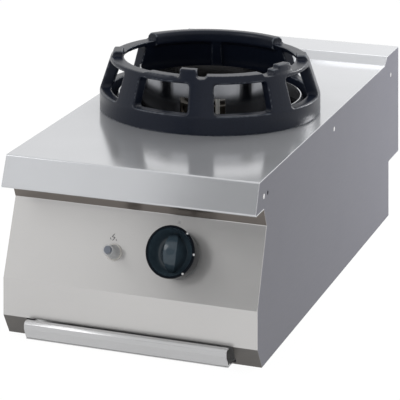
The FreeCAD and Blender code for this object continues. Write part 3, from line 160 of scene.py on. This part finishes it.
class Finish:
    """A material being made: its node tree and its Principled shader."""

    def __init__(self, name, **fixed):
        self.material = bpy.data.materials.new(name)
        self.material.use_nodes = True
        self.tree = self.material.node_tree
        self.shader = self.tree.nodes["Principled BSDF"]
        self.place = self.node("ShaderNodeTexCoord", {}, {}, "Object")
        self.feed(**fixed)

    def node(self, kind, settings, inputs, output=0):
        """Add a node: its settings first, then a number or a link for each named socket."""
        node = self.tree.nodes.new(kind)
        for name, value in settings.items():
            if name == "stops":
                for stop, (position, colour) in zip(node.color_ramp.elements, value):
                    stop.position = position
                    stop.color = (*colour, 1.0)
            else:
                setattr(node, name, value)
        for name, value in inputs.items():
            self.connect(value, node.inputs[name])
        return Value(self, node.outputs[output])

    def connect(self, value, socket):
        if isinstance(value, Value):
            self.tree.links.new(value.socket, socket)
        elif socket.type == "RGBA":
            socket.default_value = (*value, 1.0)
        else:
            socket.default_value = value

    def feed(self, **sockets):
        """Set or link sockets of the Principled shader, their spaces written as underscores."""
        for name, value in sockets.items():
            self.connect(value, self.shader.inputs[name.replace("_", " ")])

    def noise(self, size, detail=3.0, stretch=(1.0, 1.0, 1.0)):
        """Noise whose lumps are about size millimetres wide, drawn out along each axis."""
        scale = tuple(1.0 / (size * MM * s) for s in stretch)
        place = self.node("ShaderNodeMapping", {}, {"Vector": self.place, "Scale": scale})
        return self.node("ShaderNodeTexNoise", {}, {"Vector": place, "Scale": 1.0, "Detail": detail})

    def blend(self, share, first, second):
        """Colour that goes from first to second as share goes from 0 to 1."""
        return self.node("ShaderNodeMix", {"data_type": "RGBA"}, {0: share, 6: first, 7: second}, 2)

    def attribute(self, name):
        """Number that the mesh itself stores under that name, or 0 where it stores none."""
        return self.node("ShaderNodeAttribute", {"attribute_name": name}, {}, "Fac")

    def bump(self, height, depth):
        """Bend the normal as a relief of that depth in millimetres would."""
        normal = self.node("ShaderNodeBump", {}, {"Height": height, "Distance": depth * MM})
        self.feed(Normal=normal)


finishes = {}
print("shader helpers ready")

# %% [markdown]
# ## Stainless steel
#
# The casing is stainless sheet with a fine grain that runs across the unit. Polished steel shows
# the studio in it, and the grain only blurs that picture a little, along one direction. Noise
# drawn out sixty times along one axis gives the grain; it changes the roughness and, very
# slightly, the relief. A broader noise gives the faint clouds that wiping leaves.

# %% Sheet finishes
ALONG_X, ALONG_Y, NO_GRAIN = (60.0, 1.0, 1.0), (1.0, 60.0, 1.0), (1.0, 1.0, 1.0)
GRAIN_WIDTH, GRAIN_DEPTH, CLOUD_WIDTH = 0.8, 0.004, 90.0
RECESS_PAINTED_SHADE = (0.17, 0.15, 0.135)


def sheet_steel(name, colour, roughness, metallic=1.0, grain=ALONG_X):
    """Steel with a drawn-out grain: roughness rises where the grain is coarse or wiped."""
    finish = Finish(name, Metallic=metallic)
    lines = finish.noise(GRAIN_WIDTH, 2.0, grain)
    clouds = finish.noise(CLOUD_WIDTH, 3.0)
    darker = tuple(c * 0.93 for c in colour)
    finish.feed(Base_Color=finish.blend(clouds, darker, colour),
                Roughness=roughness + lines * 0.08 + clouds * 0.05)
    finish.bump(lines, GRAIN_DEPTH)
    finishes[name] = finish.material
    return finish


sheet_steel("steel", (0.65, 0.66, 0.68), 0.08, metallic=0.55)
# Painted shade: side_steel is a darker, duller copy of the casing steel, for the side that faces away
# from the lamps.
sheet_steel("side_steel", (0.14, 0.14, 0.17), 0.30, metallic=0.1, grain=ALONG_Y).feed(
    Specular_IOR_Level=0.15)
sheet_steel("bright_steel", (0.80, 0.80, 0.80), 0.14, grain=NO_GRAIN)
sheet_steel("polished_steel", (0.66, 0.66, 0.665), 0.12, metallic=0.3)
sheet_steel("tray_steel", (0.64, 0.64, 0.64), 0.26, grain=ALONG_Y)


def panel_sheet():
    """Casing steel with painted shade, a dark brown colour, in the strip that the nosing shades."""
    finish = sheet_steel("panel_steel", (0.64, 0.63, 0.62), 0.14, metallic=0.55)
    height = finish.node("ShaderNodeSeparateXYZ", {}, {0: finish.place}, "Z")
    unshaded_colour = Value(finish, finish.shader.inputs["Base Color"].links[0].from_socket)
    # Painted shade: above the recess foot the colour turns dark brown, for the shade under the nosing.
    finish.feed(Base_Color=finish.blend(height > RECESS_FOOT * MM, unshaded_colour, RECESS_PAINTED_SHADE))


panel_sheet()
print("sheet finishes", sorted(finishes))

# %% [markdown]
# The chamfer under the facia and the frame behind it are not polished. The chamfer looks dark
# because it faces the counter, and that shade is painted into its dark colour; the frame, brackets
# and runners carry a zinc coat, whose crystals show as soft patches of two greys.

# %% Coated and dull sheet
def zinc_coat():
    finish = Finish("zinc_steel", Metallic=0.8)
    crystals = finish.node("ShaderNodeTexVoronoi", {}, {"Vector": finish.place, "Scale": 120.0},
                           "Color")
    patch = finish.node("ShaderNodeSeparateColor", {}, {"Color": crystals}, "Red")
    finish.feed(Base_Color=finish.blend(patch, (0.44, 0.46, 0.48), (0.56, 0.58, 0.60)),
                Roughness=0.38 + patch * 0.12)
    finishes["zinc_steel"] = finish.material


def dark_shaded_sheet():
    # Painted shade: a dark copy of the steel, for the chamfer in shade under the facia and the pilot
    # parts inside the ring.
    finish = Finish("dark_steel", Metallic=0.6)
    blotches = finish.noise(30.0, 4.0)
    finish.feed(Base_Color=finish.blend(blotches, (0.10, 0.095, 0.09), (0.16, 0.15, 0.14)),
                Roughness=0.42 + blotches * 0.12)
    finishes["dark_steel"] = finish.material


zinc_coat()
dark_shaded_sheet()
print("coated finishes", sorted(finishes))

# %% [markdown]
# ## Castings and enamel
#
# The ring is cast iron under a satin black enamel: nearly black, slightly blue, with the
# orange-peel surface of a sand casting under it. Bump from two sizes of noise gives that
# surface. The bowl is thin sheet with a smooth, glossy enamel. The flame skirt is bare steel
# that the heat has blued, the burner itself is bare iron, browner and rougher, and its port
# ring is brass, coloured almost black.

# %% Cast and enamelled finishes
def casting(name, low, high, roughness, grit, depth):
    """Cast surface: two sizes of noise for the relief, the larger one also for the colour."""
    finish = Finish(name)
    peel = finish.noise(grit, 4.0)
    fine = finish.noise(grit * 0.3, 2.0)
    finish.feed(Base_Color=finish.blend(peel, low, high), Roughness=roughness + fine * 0.12)
    finish.bump(peel * 0.7 + fine * 0.3, depth)
    finishes[name] = finish.material
    return finish


EDGE_HIGHLIGHT_GAIN, EDGE_HIGHLIGHT_FROM = 3.2, 1.3


def enamelled_ring():
    """Blue-black enamel with a painted highlight: a paler colour on the casting's outward edges."""
    finish = casting("cast_iron", (0.006, 0.009, 0.017), (0.012, 0.016, 0.030), 0.24, 3.0, 0.10)
    # Painted highlight: vertices that stand out of the casting blend to a paler grey, as lines of
    # light on its edges.
    edge_highlight = (finish.attribute("crest") * EDGE_HIGHLIGHT_GAIN - EDGE_HIGHLIGHT_FROM).clamp()
    base = Value(finish, finish.shader.inputs["Base Color"].links[0].from_socket)
    finish.feed(Base_Color=finish.blend(edge_highlight, base, (0.13, 0.145, 0.17)), Specular_IOR_Level=0.2)


enamelled_ring()
casting("black_enamel", (0.004, 0.004, 0.006), (0.008, 0.008, 0.011), 0.10, 14.0, 0.05)
casting("skirt_steel", (0.20, 0.205, 0.22), (0.28, 0.285, 0.30), 0.14, 14.0, 0.03).feed(Metallic=1.0)
casting("burner_iron", (0.025, 0.023, 0.021), (0.050, 0.045, 0.040), 0.55, 2.0, 0.15)
casting("aluminium", (0.50, 0.51, 0.52), (0.62, 0.63, 0.64), 0.38, 2.0, 0.08).feed(Metallic=1.0)
casting("brass", (0.035, 0.031, 0.026), (0.055, 0.048, 0.038), 0.40, 1.5, 0.03).feed(Metallic=1.0)
print("castings", len(finishes))

# %% [markdown]
# ## Plastic, rubber and ceramic
#
# The knob is a black moulding and the igniter's nut a pale one. Real mouldings are never quite
# flat, so a weak, wide relief lets the highlights swim a little. The sleeve round the igniter's
# button is clear silicone, and its haze is a mix of seeing through and a milky colour. The
# prints on the panel, and the card that the studio needs later, are made the same way.

# %% Moulded finishes
def moulding(name, low, high, roughness, depth):
    finish = Finish(name)
    flow = finish.noise(9.0, 2.0)
    dust = finish.noise(0.7, 2.0)
    finish.feed(Base_Color=finish.blend(flow, low, high), Roughness=roughness + dust * 0.08)
    finish.bump(flow, depth)
    finishes[name] = finish.material
    return finish


def knob_moulding():
    """Black moulding with painted shade on its sides, near black, and painted sheen in the hollow
    front, a lighter blue; the front has a clear coat.
    """
    finish = moulding("black_plastic", (0.036, 0.056, 0.074), (0.056, 0.084, 0.104), 0.18, 0.03)
    front = finish.attribute("front")
    base = Value(finish, finish.shader.inputs["Base Color"].links[0].from_socket)
    # Painted light: near black on the sides as painted shade, lighter blue in the hollow front as
    # painted sheen.
    finish.feed(Base_Color=finish.blend(front, (0.004, 0.006, 0.010), base),
                Coat_Weight=front * 0.6, Coat_Roughness=0.12, Specular_IOR_Level=0.05)


knob_moulding()
moulding("grey_plastic", (0.15, 0.17, 0.21), (0.22, 0.24, 0.28), 0.30, 0.02)
moulding("clear_plastic", (0.70, 0.71, 0.72), (0.80, 0.81, 0.82), 0.12, 0.02).feed(Alpha=0.6)
moulding("pale_plastic", (0.62, 0.60, 0.56), (0.72, 0.70, 0.66), 0.25, 0.02)
moulding("rubber", (0.016, 0.016, 0.018), (0.026, 0.026, 0.029), 0.55, 0.03)
moulding("ceramic", (0.76, 0.75, 0.70), (0.84, 0.83, 0.79), 0.16, 0.02)
moulding("white_print", (0.72, 0.72, 0.72), (0.82, 0.82, 0.82), 0.40, 0.01)
moulding("grey_card", (0.36, 0.36, 0.36), (0.40, 0.40, 0.40), 0.70, 0.01)
moulding("black_print", (0.016, 0.016, 0.018), (0.024, 0.024, 0.026), 0.40, 0.01)
print("all finishes", len(finishes))

# %% [markdown]
# Each imported node names a material slot. The finishes carry the same names, so one loop dresses
# the whole frame. The panel has a finish of its own, with painted shade in the strip under its
# nosing, and the parts round the pilot take the dark sheet as painted shade of the ring's inside.

# %% Dress the nodes
slot_of = {part["node"]: part["material_slot"] for part in frame["record"]["subparts"]}
# Painted shade: the pilot parts take the dark sheet for the shade inside the ring, and the panel its
# shaded strip.
OWN_FINISH = {"control_panel": "panel_steel", "pilot_bracket": "dark_steel",
              "pilot_burner": "dark_steel", "thermocouple": "dark_steel"}
for name, obj in frame["nodes"].items():
    obj.data.materials.clear()
    obj.data.materials.append(finishes[OWN_FINISH.get(name, slot_of[name])])
print("dressed", len(slot_of), "nodes")

# %% [markdown]
# ## Round pieces without facets
#
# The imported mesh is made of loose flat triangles. On sheet that is exact, but on a glossy tube
# each facet would show as a stripe. A copy with its doubled vertices merged can share normals
# across the facets and keep the hard edges, so it takes the place of the node. The normals are
# weighted by the size of the faces, so that a large flat one keeps its own.

# %% Smooth copies
ROUND_NODES = ("burner_skirt", "bowl_wall", "bowl_collar", "well_collar", "bowl_hanger",
               "burner_body", "burner_chamber", "burner_crown", "burner_cap",
               "venturi_tube", "pilot_burner", "spark_electrode", "thermocouple", "gas_manifold",
               "feed_pipe", "pilot_pipe", "probe_lead", "ignition_lead", "igniter_body",
               "igniter_nut", "igniter_sleeve", "igniter_button", "gas_inlet", "cooktop")
HARD_EDGE = math.radians(28)
MERGE_WITHIN = 0.02
body_of = {node: body for body, nodes in frame["record"]["behaviour"]["bodies"].items()
           for node in nodes}


def merged_copy(nodes):
    """The meshes of one or more nodes as one new object, their doubled vertices merged."""
    mesh = frame["nodes"][nodes[0]].data.copy()
    piece = bpy.data.objects.new(nodes[0] + "_round", mesh)
    bpy.context.scene.collection.objects.link(piece)
    joined = bmesh.new()
    for node in nodes:
        joined.from_mesh(frame["nodes"][node].data)
    bmesh.ops.remove_doubles(joined, verts=joined.verts, dist=MERGE_WITHIN * MM)
    joined.to_mesh(mesh)
    joined.free()
    return piece


def install(piece, *nodes):
    """Put a finished piece in the place of its nodes, on the same body."""
    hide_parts(*nodes)
    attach(piece, body_of[nodes[0]])


for node in ROUND_NODES:
    piece = merged_copy([node])
    piece.data.shade_smooth()
    piece.data.set_sharp_from_angle(angle=HARD_EDGE)
    flat_stays_flat = piece.modifiers.new("weighted", "WEIGHTED_NORMAL")
    flat_stays_flat.weight = 100
    flat_stays_flat.keep_sharp = True
    install(piece, node)
print("smooth copies", len(ROUND_NODES))

# %% [markdown]
# ## The cast ring
#
# The ring comes as four nodes that meet face to face, and here they become one casting, which
# has no sharp edges: the sand rounds them all. Bevelling a mesh that comes from a boolean cut
# rarely works, because its faces are slivers. Rebuilding the merged copy from small voxels and
# then letting each vertex drift towards its neighbours rounds every edge by about a voxel's
# width, as the sand does, and keeps the windows and pads where they are.

# %% Ring
RING_NODES = ("ring_band", "ring_posts", "ring_back", "ring_rim")
RING_VOXEL, RELAX_PASSES, CREST_GAIN = 1.8, 2, 5.0


def sand_rounded(nodes, voxel, passes):
    """Merged copy of nodes, remade from voxels of that size and relaxed to round its edges."""
    piece = merged_copy(nodes)
    remade = piece.modifiers.new("voxels", "REMESH")
    remade.mode = "VOXEL"
    remade.voxel_size = voxel * MM
    relaxed = piece.modifiers.new("relax", "SMOOTH")
    relaxed.factor = 0.5
    relaxed.iterations = passes
    depsgraph = bpy.context.evaluated_depsgraph_get()
    mesh = bpy.data.meshes.new_from_object(piece.evaluated_get(depsgraph))
    piece.modifiers.clear()
    piece.data = mesh
    mesh.shade_smooth()
    return piece


def mark_crests(mesh, size):
    """Store how far each vertex stands out of the mean of its neighbours, as a share of size."""
    count = len(mesh.vertices)
    place = np.empty(count * 3)
    normal = np.empty(count * 3)
    ends = np.empty(len(mesh.edges) * 2, int)
    mesh.vertices.foreach_get("co", place)
    mesh.vertices.foreach_get("normal", normal)
    mesh.edges.foreach_get("vertices", ends)
    place, normal, ends = place.reshape(-1, 3), normal.reshape(-1, 3), ends.reshape(-1, 2)
    around = np.zeros_like(place)
    number = np.zeros(count)
    for here, there in ((0, 1), (1, 0)):
        np.add.at(around, ends[:, here], place[ends[:, there]])
        np.add.at(number, ends[:, here], 1.0)
    proud = np.sum((place - around / number[:, None]) * normal, axis=1) / (size * MM)
    crest = mesh.attributes.new("crest", "FLOAT", "POINT")
    crest.data.foreach_set("value", np.clip(proud * CREST_GAIN, 0.0, 1.0).astype(np.float32))
    return proud


ring = sand_rounded(RING_NODES, RING_VOXEL, RELAX_PASSES)
proud = mark_crests(ring.data, RING_VOXEL)
install(ring, *RING_NODES)
print("sharpest edge", round(float(proud.max()), 3), "of a voxel")
print("ring faces", len(ring.data.polygons))

# %% [markdown]
# ## Surfaces worked out with numpy
#
# The knob and the tray's handle are smooth shapes with a simple rule, so their surfaces are
# worked out as whole arrays on a grid and handed to the mesh at once.

# %% Grid to mesh
def grid_piece(name, points, closed_u=False, closed_v=False, smooth=40.0):
    """Mesh over a grid of points of shape (nu, nv, 3); a closed direction joins up with itself."""
    nu, nv = points.shape[:2]
    index = np.arange(nu * nv).reshape(nu, nv)
    if closed_u:
        index = np.vstack([index, index[:1]])
    if closed_v:
        index = np.hstack([index, index[:, :1]])
    quads = np.stack([index[:-1, :-1], index[1:, :-1], index[1:, 1:], index[:-1, 1:]], axis=-1)
    mesh = bpy.data.meshes.new(name)
    mesh.from_pydata(points.reshape(-1, 3).tolist(), [], quads.reshape(-1, 4).tolist())
    joined = bmesh.new()
    joined.from_mesh(mesh)
    bmesh.ops.remove_doubles(joined, verts=joined.verts, dist=0.001 * MM)
    bmesh.ops.holes_fill(joined, edges=joined.edges)
    bmesh.ops.recalc_face_normals(joined, faces=joined.faces)
    joined.to_mesh(mesh)
    joined.free()
    mesh.shade_smooth()
    mesh.set_sharp_from_angle(angle=math.radians(smooth))
    piece = bpy.data.objects.new(name, mesh)
    bpy.context.scene.collection.objects.link(piece)
    return piece


print("grid helper ready")

# %% [markdown]
# ### Knob
#
# The knob is a deep drum with a bowl pressed into its front, and an almond-shaped grip stands
# in the bowl from rim to rim. Both are heights over the same disc. The surface is the higher of
# the two, and the join is softened, as a moulding tool's cutter leaves it. A number stored on
# each vertex tells the finish which part of the surface is the hollow front.

# %% Knob surface
KNOB_AT = (70.5, 64.7)
KNOB_R, KNOB_BACK_R, KNOB_BACK, KNOB_FRONT, EDGE_R = 37.8, 35.0, 6.0, 42.0, 3.0
BOWL_RIM, BOWL_DEEP = 34.6, 24.0
GRIP_CREST, GRIP_FOOT, GRIP_HALF, GRIP_ARCH = 9.5, 19.5, 31.0, 30.6
GRIP_SUNK, GRIP_CAMBER, LIP, JOIN = 0.7, 1.1, 0.8, 1.0


def bowl_height(r):
    """Steep bowl: its depth is the full depth times 1 - (r / rim)^8."""
    return KNOB_FRONT - BOWL_DEEP * (1.0 - (r / BOWL_RIM) ** 8)


def grip_height(a, b):
    """Almond grip whose crest is an arc along b; both widths shrink as 1 - (b / half length)^2.

    Between the crest's edge and the foot's the side falls in a straight line, and a weak
    camber across the crest lets it catch the light.
    """
    taper = np.clip(1.0 - (b / GRIP_HALF) ** 2, 0.0, None)
    crest, foot = GRIP_CREST * taper, GRIP_FOOT * taper
    arch = np.sqrt(np.clip(GRIP_ARCH ** 2 - b ** 2, 0.0, None)) - GRIP_ARCH
    down = np.clip((np.abs(a) - crest) / np.maximum(foot - crest, 0.05), 0.0, 1.4)
    camber = GRIP_CAMBER * (1.0 - np.clip(np.abs(a) / np.maximum(crest, 0.05), 0.0, 1.0) ** 2) * taper
    return np.minimum(KNOB_FRONT - GRIP_SUNK + arch + camber, KNOB_FRONT - BOWL_DEEP * down)


def soft_max(first, second, width):
    """The higher of two heights, with the join rounded over that width."""
    gap = np.clip(0.5 + 0.5 * (first - second) / width, 0.0, 1.0)
    return second + (first - second) * gap + width * gap * (1.0 - gap)


def knob_surface(around=256):
    """Turned meridian from the back, over the side and edge, to the middle of the front."""
    angle = np.linspace(0.0, 2 * np.pi, around, endpoint=False)
    turn = np.linspace(0.0, np.pi / 2, 10)
    side_r = np.concatenate([[0.01, 20.0, KNOB_BACK_R - 1.0, KNOB_BACK_R],
                             KNOB_R - EDGE_R + EDGE_R * np.cos(turn)])
    side_h = np.concatenate([[KNOB_BACK] * 3, [KNOB_BACK + 0.8],
                             KNOB_FRONT - EDGE_R + EDGE_R * np.sin(turn)])
    front_r = BOWL_RIM * np.sin(np.linspace(np.pi / 2, 0.0003, 110))
    r = np.concatenate([side_r, front_r])
    a = r[None, :] * np.cos(angle)[:, None]
    b = r[None, :] * np.sin(angle)[:, None]
    front = soft_max(grip_height(a[:, len(side_r):], b[:, len(side_r):]),
                     np.broadcast_to(bowl_height(front_r), (around, len(front_r))), JOIN)
    lip = np.clip((BOWL_RIM - front_r) / LIP, 0.0, 1.0)
    front = KNOB_FRONT + (front - KNOB_FRONT) * lip
    out = np.hstack([np.broadcast_to(side_h, (around, len(side_h))), front])
    return on_panel(KNOB_AT[0] + a, KNOB_AT[1] + b, out)


def mark_front(mesh, rim):
    """Store 1 on vertices nearer to the knob's axis than that radius, fading over 1 mm to 0."""
    place = np.empty(len(mesh.vertices) * 3)
    mesh.vertices.foreach_get("co", place)
    axis = on_panel(KNOB_AT[0], KNOB_AT[1], 1.0) - on_panel(KNOB_AT[0], KNOB_AT[1], 0.0)
    axis /= np.linalg.norm(axis)
    away = place.reshape(-1, 3) - on_panel(KNOB_AT[0], KNOB_AT[1], 0.0)
    radius = np.linalg.norm(np.cross(away, axis), axis=1) / MM
    front = mesh.attributes.new("front", "FLOAT", "POINT")
    front.data.foreach_set("value", np.clip(rim - radius, 0, 1).astype(np.float32))


knob = grid_piece("knob_moulding", knob_surface(), closed_u=True)
mark_front(knob.data, BOWL_RIM)
knob.data.materials.append(finishes["black_plastic"])
install(knob, "knob")
print("knob faces", len(knob.data.polygons))

# %% [markdown]
# The marks are printed: three white dots on the shoulder of the knob, one white dot on the
# panel above it, and a small spark sign above the igniter. Each is a thin closed disc or bar
# that sits just proud of what carries it.

# %% Marks
DOT_THICK, BAR_THICK, BAR_WIDTH = 0.25, 0.12, 1.0
KNOB_DOT_R, PANEL_DOT_R, PANEL_DOT_AT = 1.7, 1.6, (66.5, 110.9)


def dot(name, centre, normal, radius, body):
    """Small closed dome: rings of falling radius along the normal."""
    normal = np.array(normal) / np.linalg.norm(normal)
    side = np.cross(normal, (0.0, 0.0, 1.0))
    side /= np.linalg.norm(side)
    other = np.cross(normal, side)
    angle = np.linspace(0.0, 2 * np.pi, 24, endpoint=False)
    r = np.array([0.001, 1.0, 1.0, 0.8, 0.001]) * radius
    h = np.array([-0.2, -0.2, 0.4, 0.9, 1.0]) * DOT_THICK
    around = np.cos(angle)[:, None, None] * side + np.sin(angle)[:, None, None] * other
    points = centre + (around * r[None, :, None] + normal * h[None, :, None]) * MM
    piece = grid_piece(name, points, closed_u=True)
    piece.data.materials.append(finishes["white_print"])
    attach(piece, body)


outward = on_panel(0.0, 0.0, 1.0) - on_panel(0.0, 0.0, 0.0)
for i, degrees in enumerate((50.5, 0.0, -50.5)):
    turn = math.radians(degrees)
    radius = KNOB_R - EDGE_R * 0.3
    dot("knob_dot_%d" % (i + 1),
        on_panel(KNOB_AT[0] + radius * math.cos(turn), KNOB_AT[1] + radius * math.sin(turn),
                 KNOB_FRONT - EDGE_R * 0.3),
        (outward / np.linalg.norm(outward)
         + (on_panel(math.cos(turn), math.sin(turn), 0.0) - on_panel(0.0, 0.0, 0.0)) / MM) / 2,
        KNOB_DOT_R, "knob")
dot("panel_dot", on_panel(*PANEL_DOT_AT, 0.0), outward, PANEL_DOT_R, "casing")


def bar(name, start, end):
    """Thin closed strip on the panel: a rectangle between two points, carried out of the sheet."""
    start, end = np.array(start, float), np.array(end, float)
    along = (end - start) / np.linalg.norm(end - start)
    aside = np.array([-along[1], along[0]]) * BAR_WIDTH / 2
    corners = np.array([start - aside, end - aside, end + aside, start + aside])
    out = np.array([0.01, BAR_THICK])
    points = on_panel(corners[:, None, 0], corners[:, None, 1], out[None, :])
    piece = grid_piece(name, points, closed_u=True, smooth=20.0)
    piece.data.materials.append(finishes["black_print"])
    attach(piece, "casing")


# The sign is a small bolt: three strokes in a chain, and a short ray on each side of it.
SIGN_AT = np.array([-33.2, 78.7])
SIGN = (((1.5, 5.0), (-2.5, 0.2)), ((-2.5, 0.2), (2.5, -0.4)), ((2.5, -0.4), (-1.2, -5.2)),
        ((-5.2, -1.2), (-3.6, -4.2)), ((4.4, -2.6), (5.2, -5.2)))
for i, (start, end) in enumerate(SIGN):
    bar("spark_sign_%d" % (i + 1), SIGN_AT + start, SIGN_AT + end)
print("marks on")

# %% [markdown]
# ### Handle of the drip tray
#
# The handle is one polished strip, rolled over at the top and turned under at the bottom. Its
# line is a chain of straights joined by arcs. The strip is that line, given a thickness towards
# the tray and carried across the unit.

# %% Handle surface
def rounded_line(points, radii, steps=7):
    """Open chain of straights whose corners are replaced by arcs of the given radii."""
    points = np.array(points, float)
    line = [points[:1]]
    for last, corner, following, radius in zip(points, points[1:], points[2:], radii):
        back = (last - corner) / np.linalg.norm(last - corner)
        onward = (following - corner) / np.linalg.norm(following - corner)
        half_angle = math.acos(float(np.clip(back @ onward, -1, 1))) / 2
        bisector = (back + onward) / np.linalg.norm(back + onward)
        centre = corner + bisector * radius / math.sin(half_angle)
        sweep = np.linspace(-(math.pi / 2 - half_angle), math.pi / 2 - half_angle, steps)
        across = (onward - back) / np.linalg.norm(onward - back)
        line.append(centre - radius * (np.cos(sweep)[:, None] * bisector
                                       - np.sin(sweep)[:, None] * across))
    line.append(points[-1:])
    return np.vstack(line)


def strip_outline(line, thickness):
    """Closed outline of a strip: the line, and the same line moved to its left."""
    along = np.gradient(line, axis=0)
    along /= np.linalg.norm(along, axis=1)[:, None]
    left = np.stack([-along[:, 1], along[:, 0]], axis=1)
    return np.vstack([line, (line + left * thickness)[::-1]])


TRAY_HALF, STRIP_THICK = 158.8, 2.0
handle_line = rounded_line(
    [(-6.0, 33.0), (-14.5, 33.0), (-18.0, 29.5), (-18.0, 22.5), (-9.0, 6.1), (2.0, 6.1)],
    [2.0, 2.0, 2.6, 3.0])
outline = strip_outline(handle_line, STRIP_THICK)
# The outline is a hair smaller at both ends, so that the cut edges of the strip aren't sharp.
across = np.array([-1.0, -0.9985, 0.9985, 1.0]) * TRAY_HALF
shrink = np.array([0.985, 1.0, 1.0, 0.985])[:, None]
outline_middle = outline.mean(axis=0)
grid = np.empty((4, len(outline), 3))
grid[..., 0] = across[:, None]
grid[..., 1] = FACIA_Y + outline_middle[0] + (outline[None, :, 0] - outline_middle[0]) * shrink
grid[..., 2] = outline_middle[1] + (outline[None, :, 1] - outline_middle[1]) * shrink
handle = grid_piece("tray_handle_strip", grid * MM, closed_v=True, smooth=60.0)
handle.data.materials.append(finishes["polished_steel"])
install(handle, "tray_handle")
print("handle faces", len(handle.data.polygons))

# %% [markdown]
# ## Floor, backdrop and light
#
# A pale floor that reaches past the view is enough of a studio. To the camera it is mostly a
# white card, so the background stays clean, and a share of plain paint keeps the shadow.

# %% Floor
def seen_directly(tree):
    """1 for rays from the camera, and for those that a mirror or a clear piece sends on."""
    ray = {name: tree.node("ShaderNodeLightPath", {}, {}, name)
           for name in ("Is Camera Ray", "Is Glossy Ray", "Is Transmission Ray")}
    return ray["Is Camera Ray"].maximum(ray["Is Glossy Ray"]).maximum(ray["Is Transmission Ray"])


CARD_SHARE, CARD_STRENGTH, SKY_STRENGTH, FLOOR_HALF = 0.93, 1.04, 0.62, 8


def floor_paint():
    finish = Finish("floor_paint", Roughness=0.9)
    patches = finish.noise(400.0, 2.0)
    finish.feed(Base_Color=finish.blend(patches, (0.86, 0.86, 0.86), (0.90, 0.90, 0.90)))
    card = finish.node("ShaderNodeEmission", {}, {"Color": (1.0, 1.0, 1.0), "Strength": CARD_STRENGTH})
    painted = Value(finish, finish.shader.outputs[0])
    mixed = finish.node("ShaderNodeMixShader", {},
                        {0: seen_directly(finish) * CARD_SHARE, 1: painted, 2: card})
    finish.connect(mixed, finish.tree.nodes["Material Output"].inputs["Surface"])
    return finish.material


floor_mesh = bpy.data.meshes.new("floor")
floor_mesh.from_pydata([(x * FLOOR_HALF, y * FLOOR_HALF, 0) for x, y in
                        ((-1, -1), (1, -1), (1, 1), (-1, 1))], [], [(0, 1, 2, 3)])
floor_mesh.materials.append(floor_paint())
floor = bpy.data.objects.new("floor", floor_mesh)
bpy.context.scene.collection.objects.link(floor)
print("floor down")

# %% World and lamps
class Sky(Finish):
    """The world's node tree, made with the same one method as a finish."""

    def __init__(self, name):
        self.world = bpy.data.worlds.new(name)
        self.world.use_nodes = True
        self.tree = self.world.node_tree
        self.place = self.node("ShaderNodeTexCoord", {}, {}, "Generated")


def studio_world():
    """White where it is seen; as a light, a soft sky that is brighter overhead than low down."""
    sky = Sky("studio")
    height = sky.node("ShaderNodeSeparateXYZ", {}, {0: sky.place}, "Z")
    shade = sky.node("ShaderNodeValToRGB",
                     {"stops": ((0.0, (0.62, 0.63, 0.65)), (1.0, (1.0, 1.0, 1.0)))}, {0: height})
    light = sky.node("ShaderNodeBackground", {}, {"Color": shade, "Strength": SKY_STRENGTH})
    white = sky.node("ShaderNodeBackground", {}, {"Color": (1.0, 1.0, 1.0), "Strength": 1.0})
    mixed = sky.node("ShaderNodeMixShader", {}, {0: seen_directly(sky), 1: light, 2: white})
    sky.connect(mixed, sky.tree.nodes["World Output"].inputs["Surface"])
    bpy.context.scene.world = sky.world


def soft_lamp(name, place, size, watts, target):
    """Square lamp of that size in metres that shines at a point of the range."""
    data = bpy.data.lights.new(name, "AREA")
    data.size = size
    data.energy = watts
    lamp = bpy.data.objects.new(name, data)
    bpy.context.scene.collection.objects.link(lamp)
    lamp.location = place
    aim = Vector(target) - Vector(place)
    lamp.rotation_euler = aim.to_track_quat("-Z", "Y").to_euler()


studio_world()
soft_lamp("key", (-1.3, -1.3, 1.5), 0.9, 9.0, (-0.1, -0.3, 0.2))
soft_lamp("rear_side", (0.80, 0.80, 0.65), 0.4, 7.0, (0.2, 0.4, 0.2))
soft_lamp("rear_top", (0.1, 0.9, 1.25), 0.7, 3.0, (0.0, 0.3, 0.27))


def mirror_card(name, low, high, y):
    """Grey upright card in front of the range that only mirrors see; low and high are (x, z)."""
    corners = [(low[0], y, low[1]), (high[0], y, low[1]), (high[0], y, high[1]), (low[0], y, high[1])]
    mesh = bpy.data.meshes.new(name)
    mesh.from_pydata(corners, [], [(0, 1, 2, 3)])
    mesh.materials.append(finishes["grey_card"])
    card = bpy.data.objects.new(name, mesh)
    bpy.context.scene.collection.objects.link(card)
    for kind in ("camera", "diffuse", "transmission", "shadow"):
        setattr(card, "visible_" + kind, False)


mirror_card("flag", (-0.55, 0.62), (0.15, 1.5), -2.0)
bpy.context.scene.view_settings.view_transform = "Standard"
print("lights up")
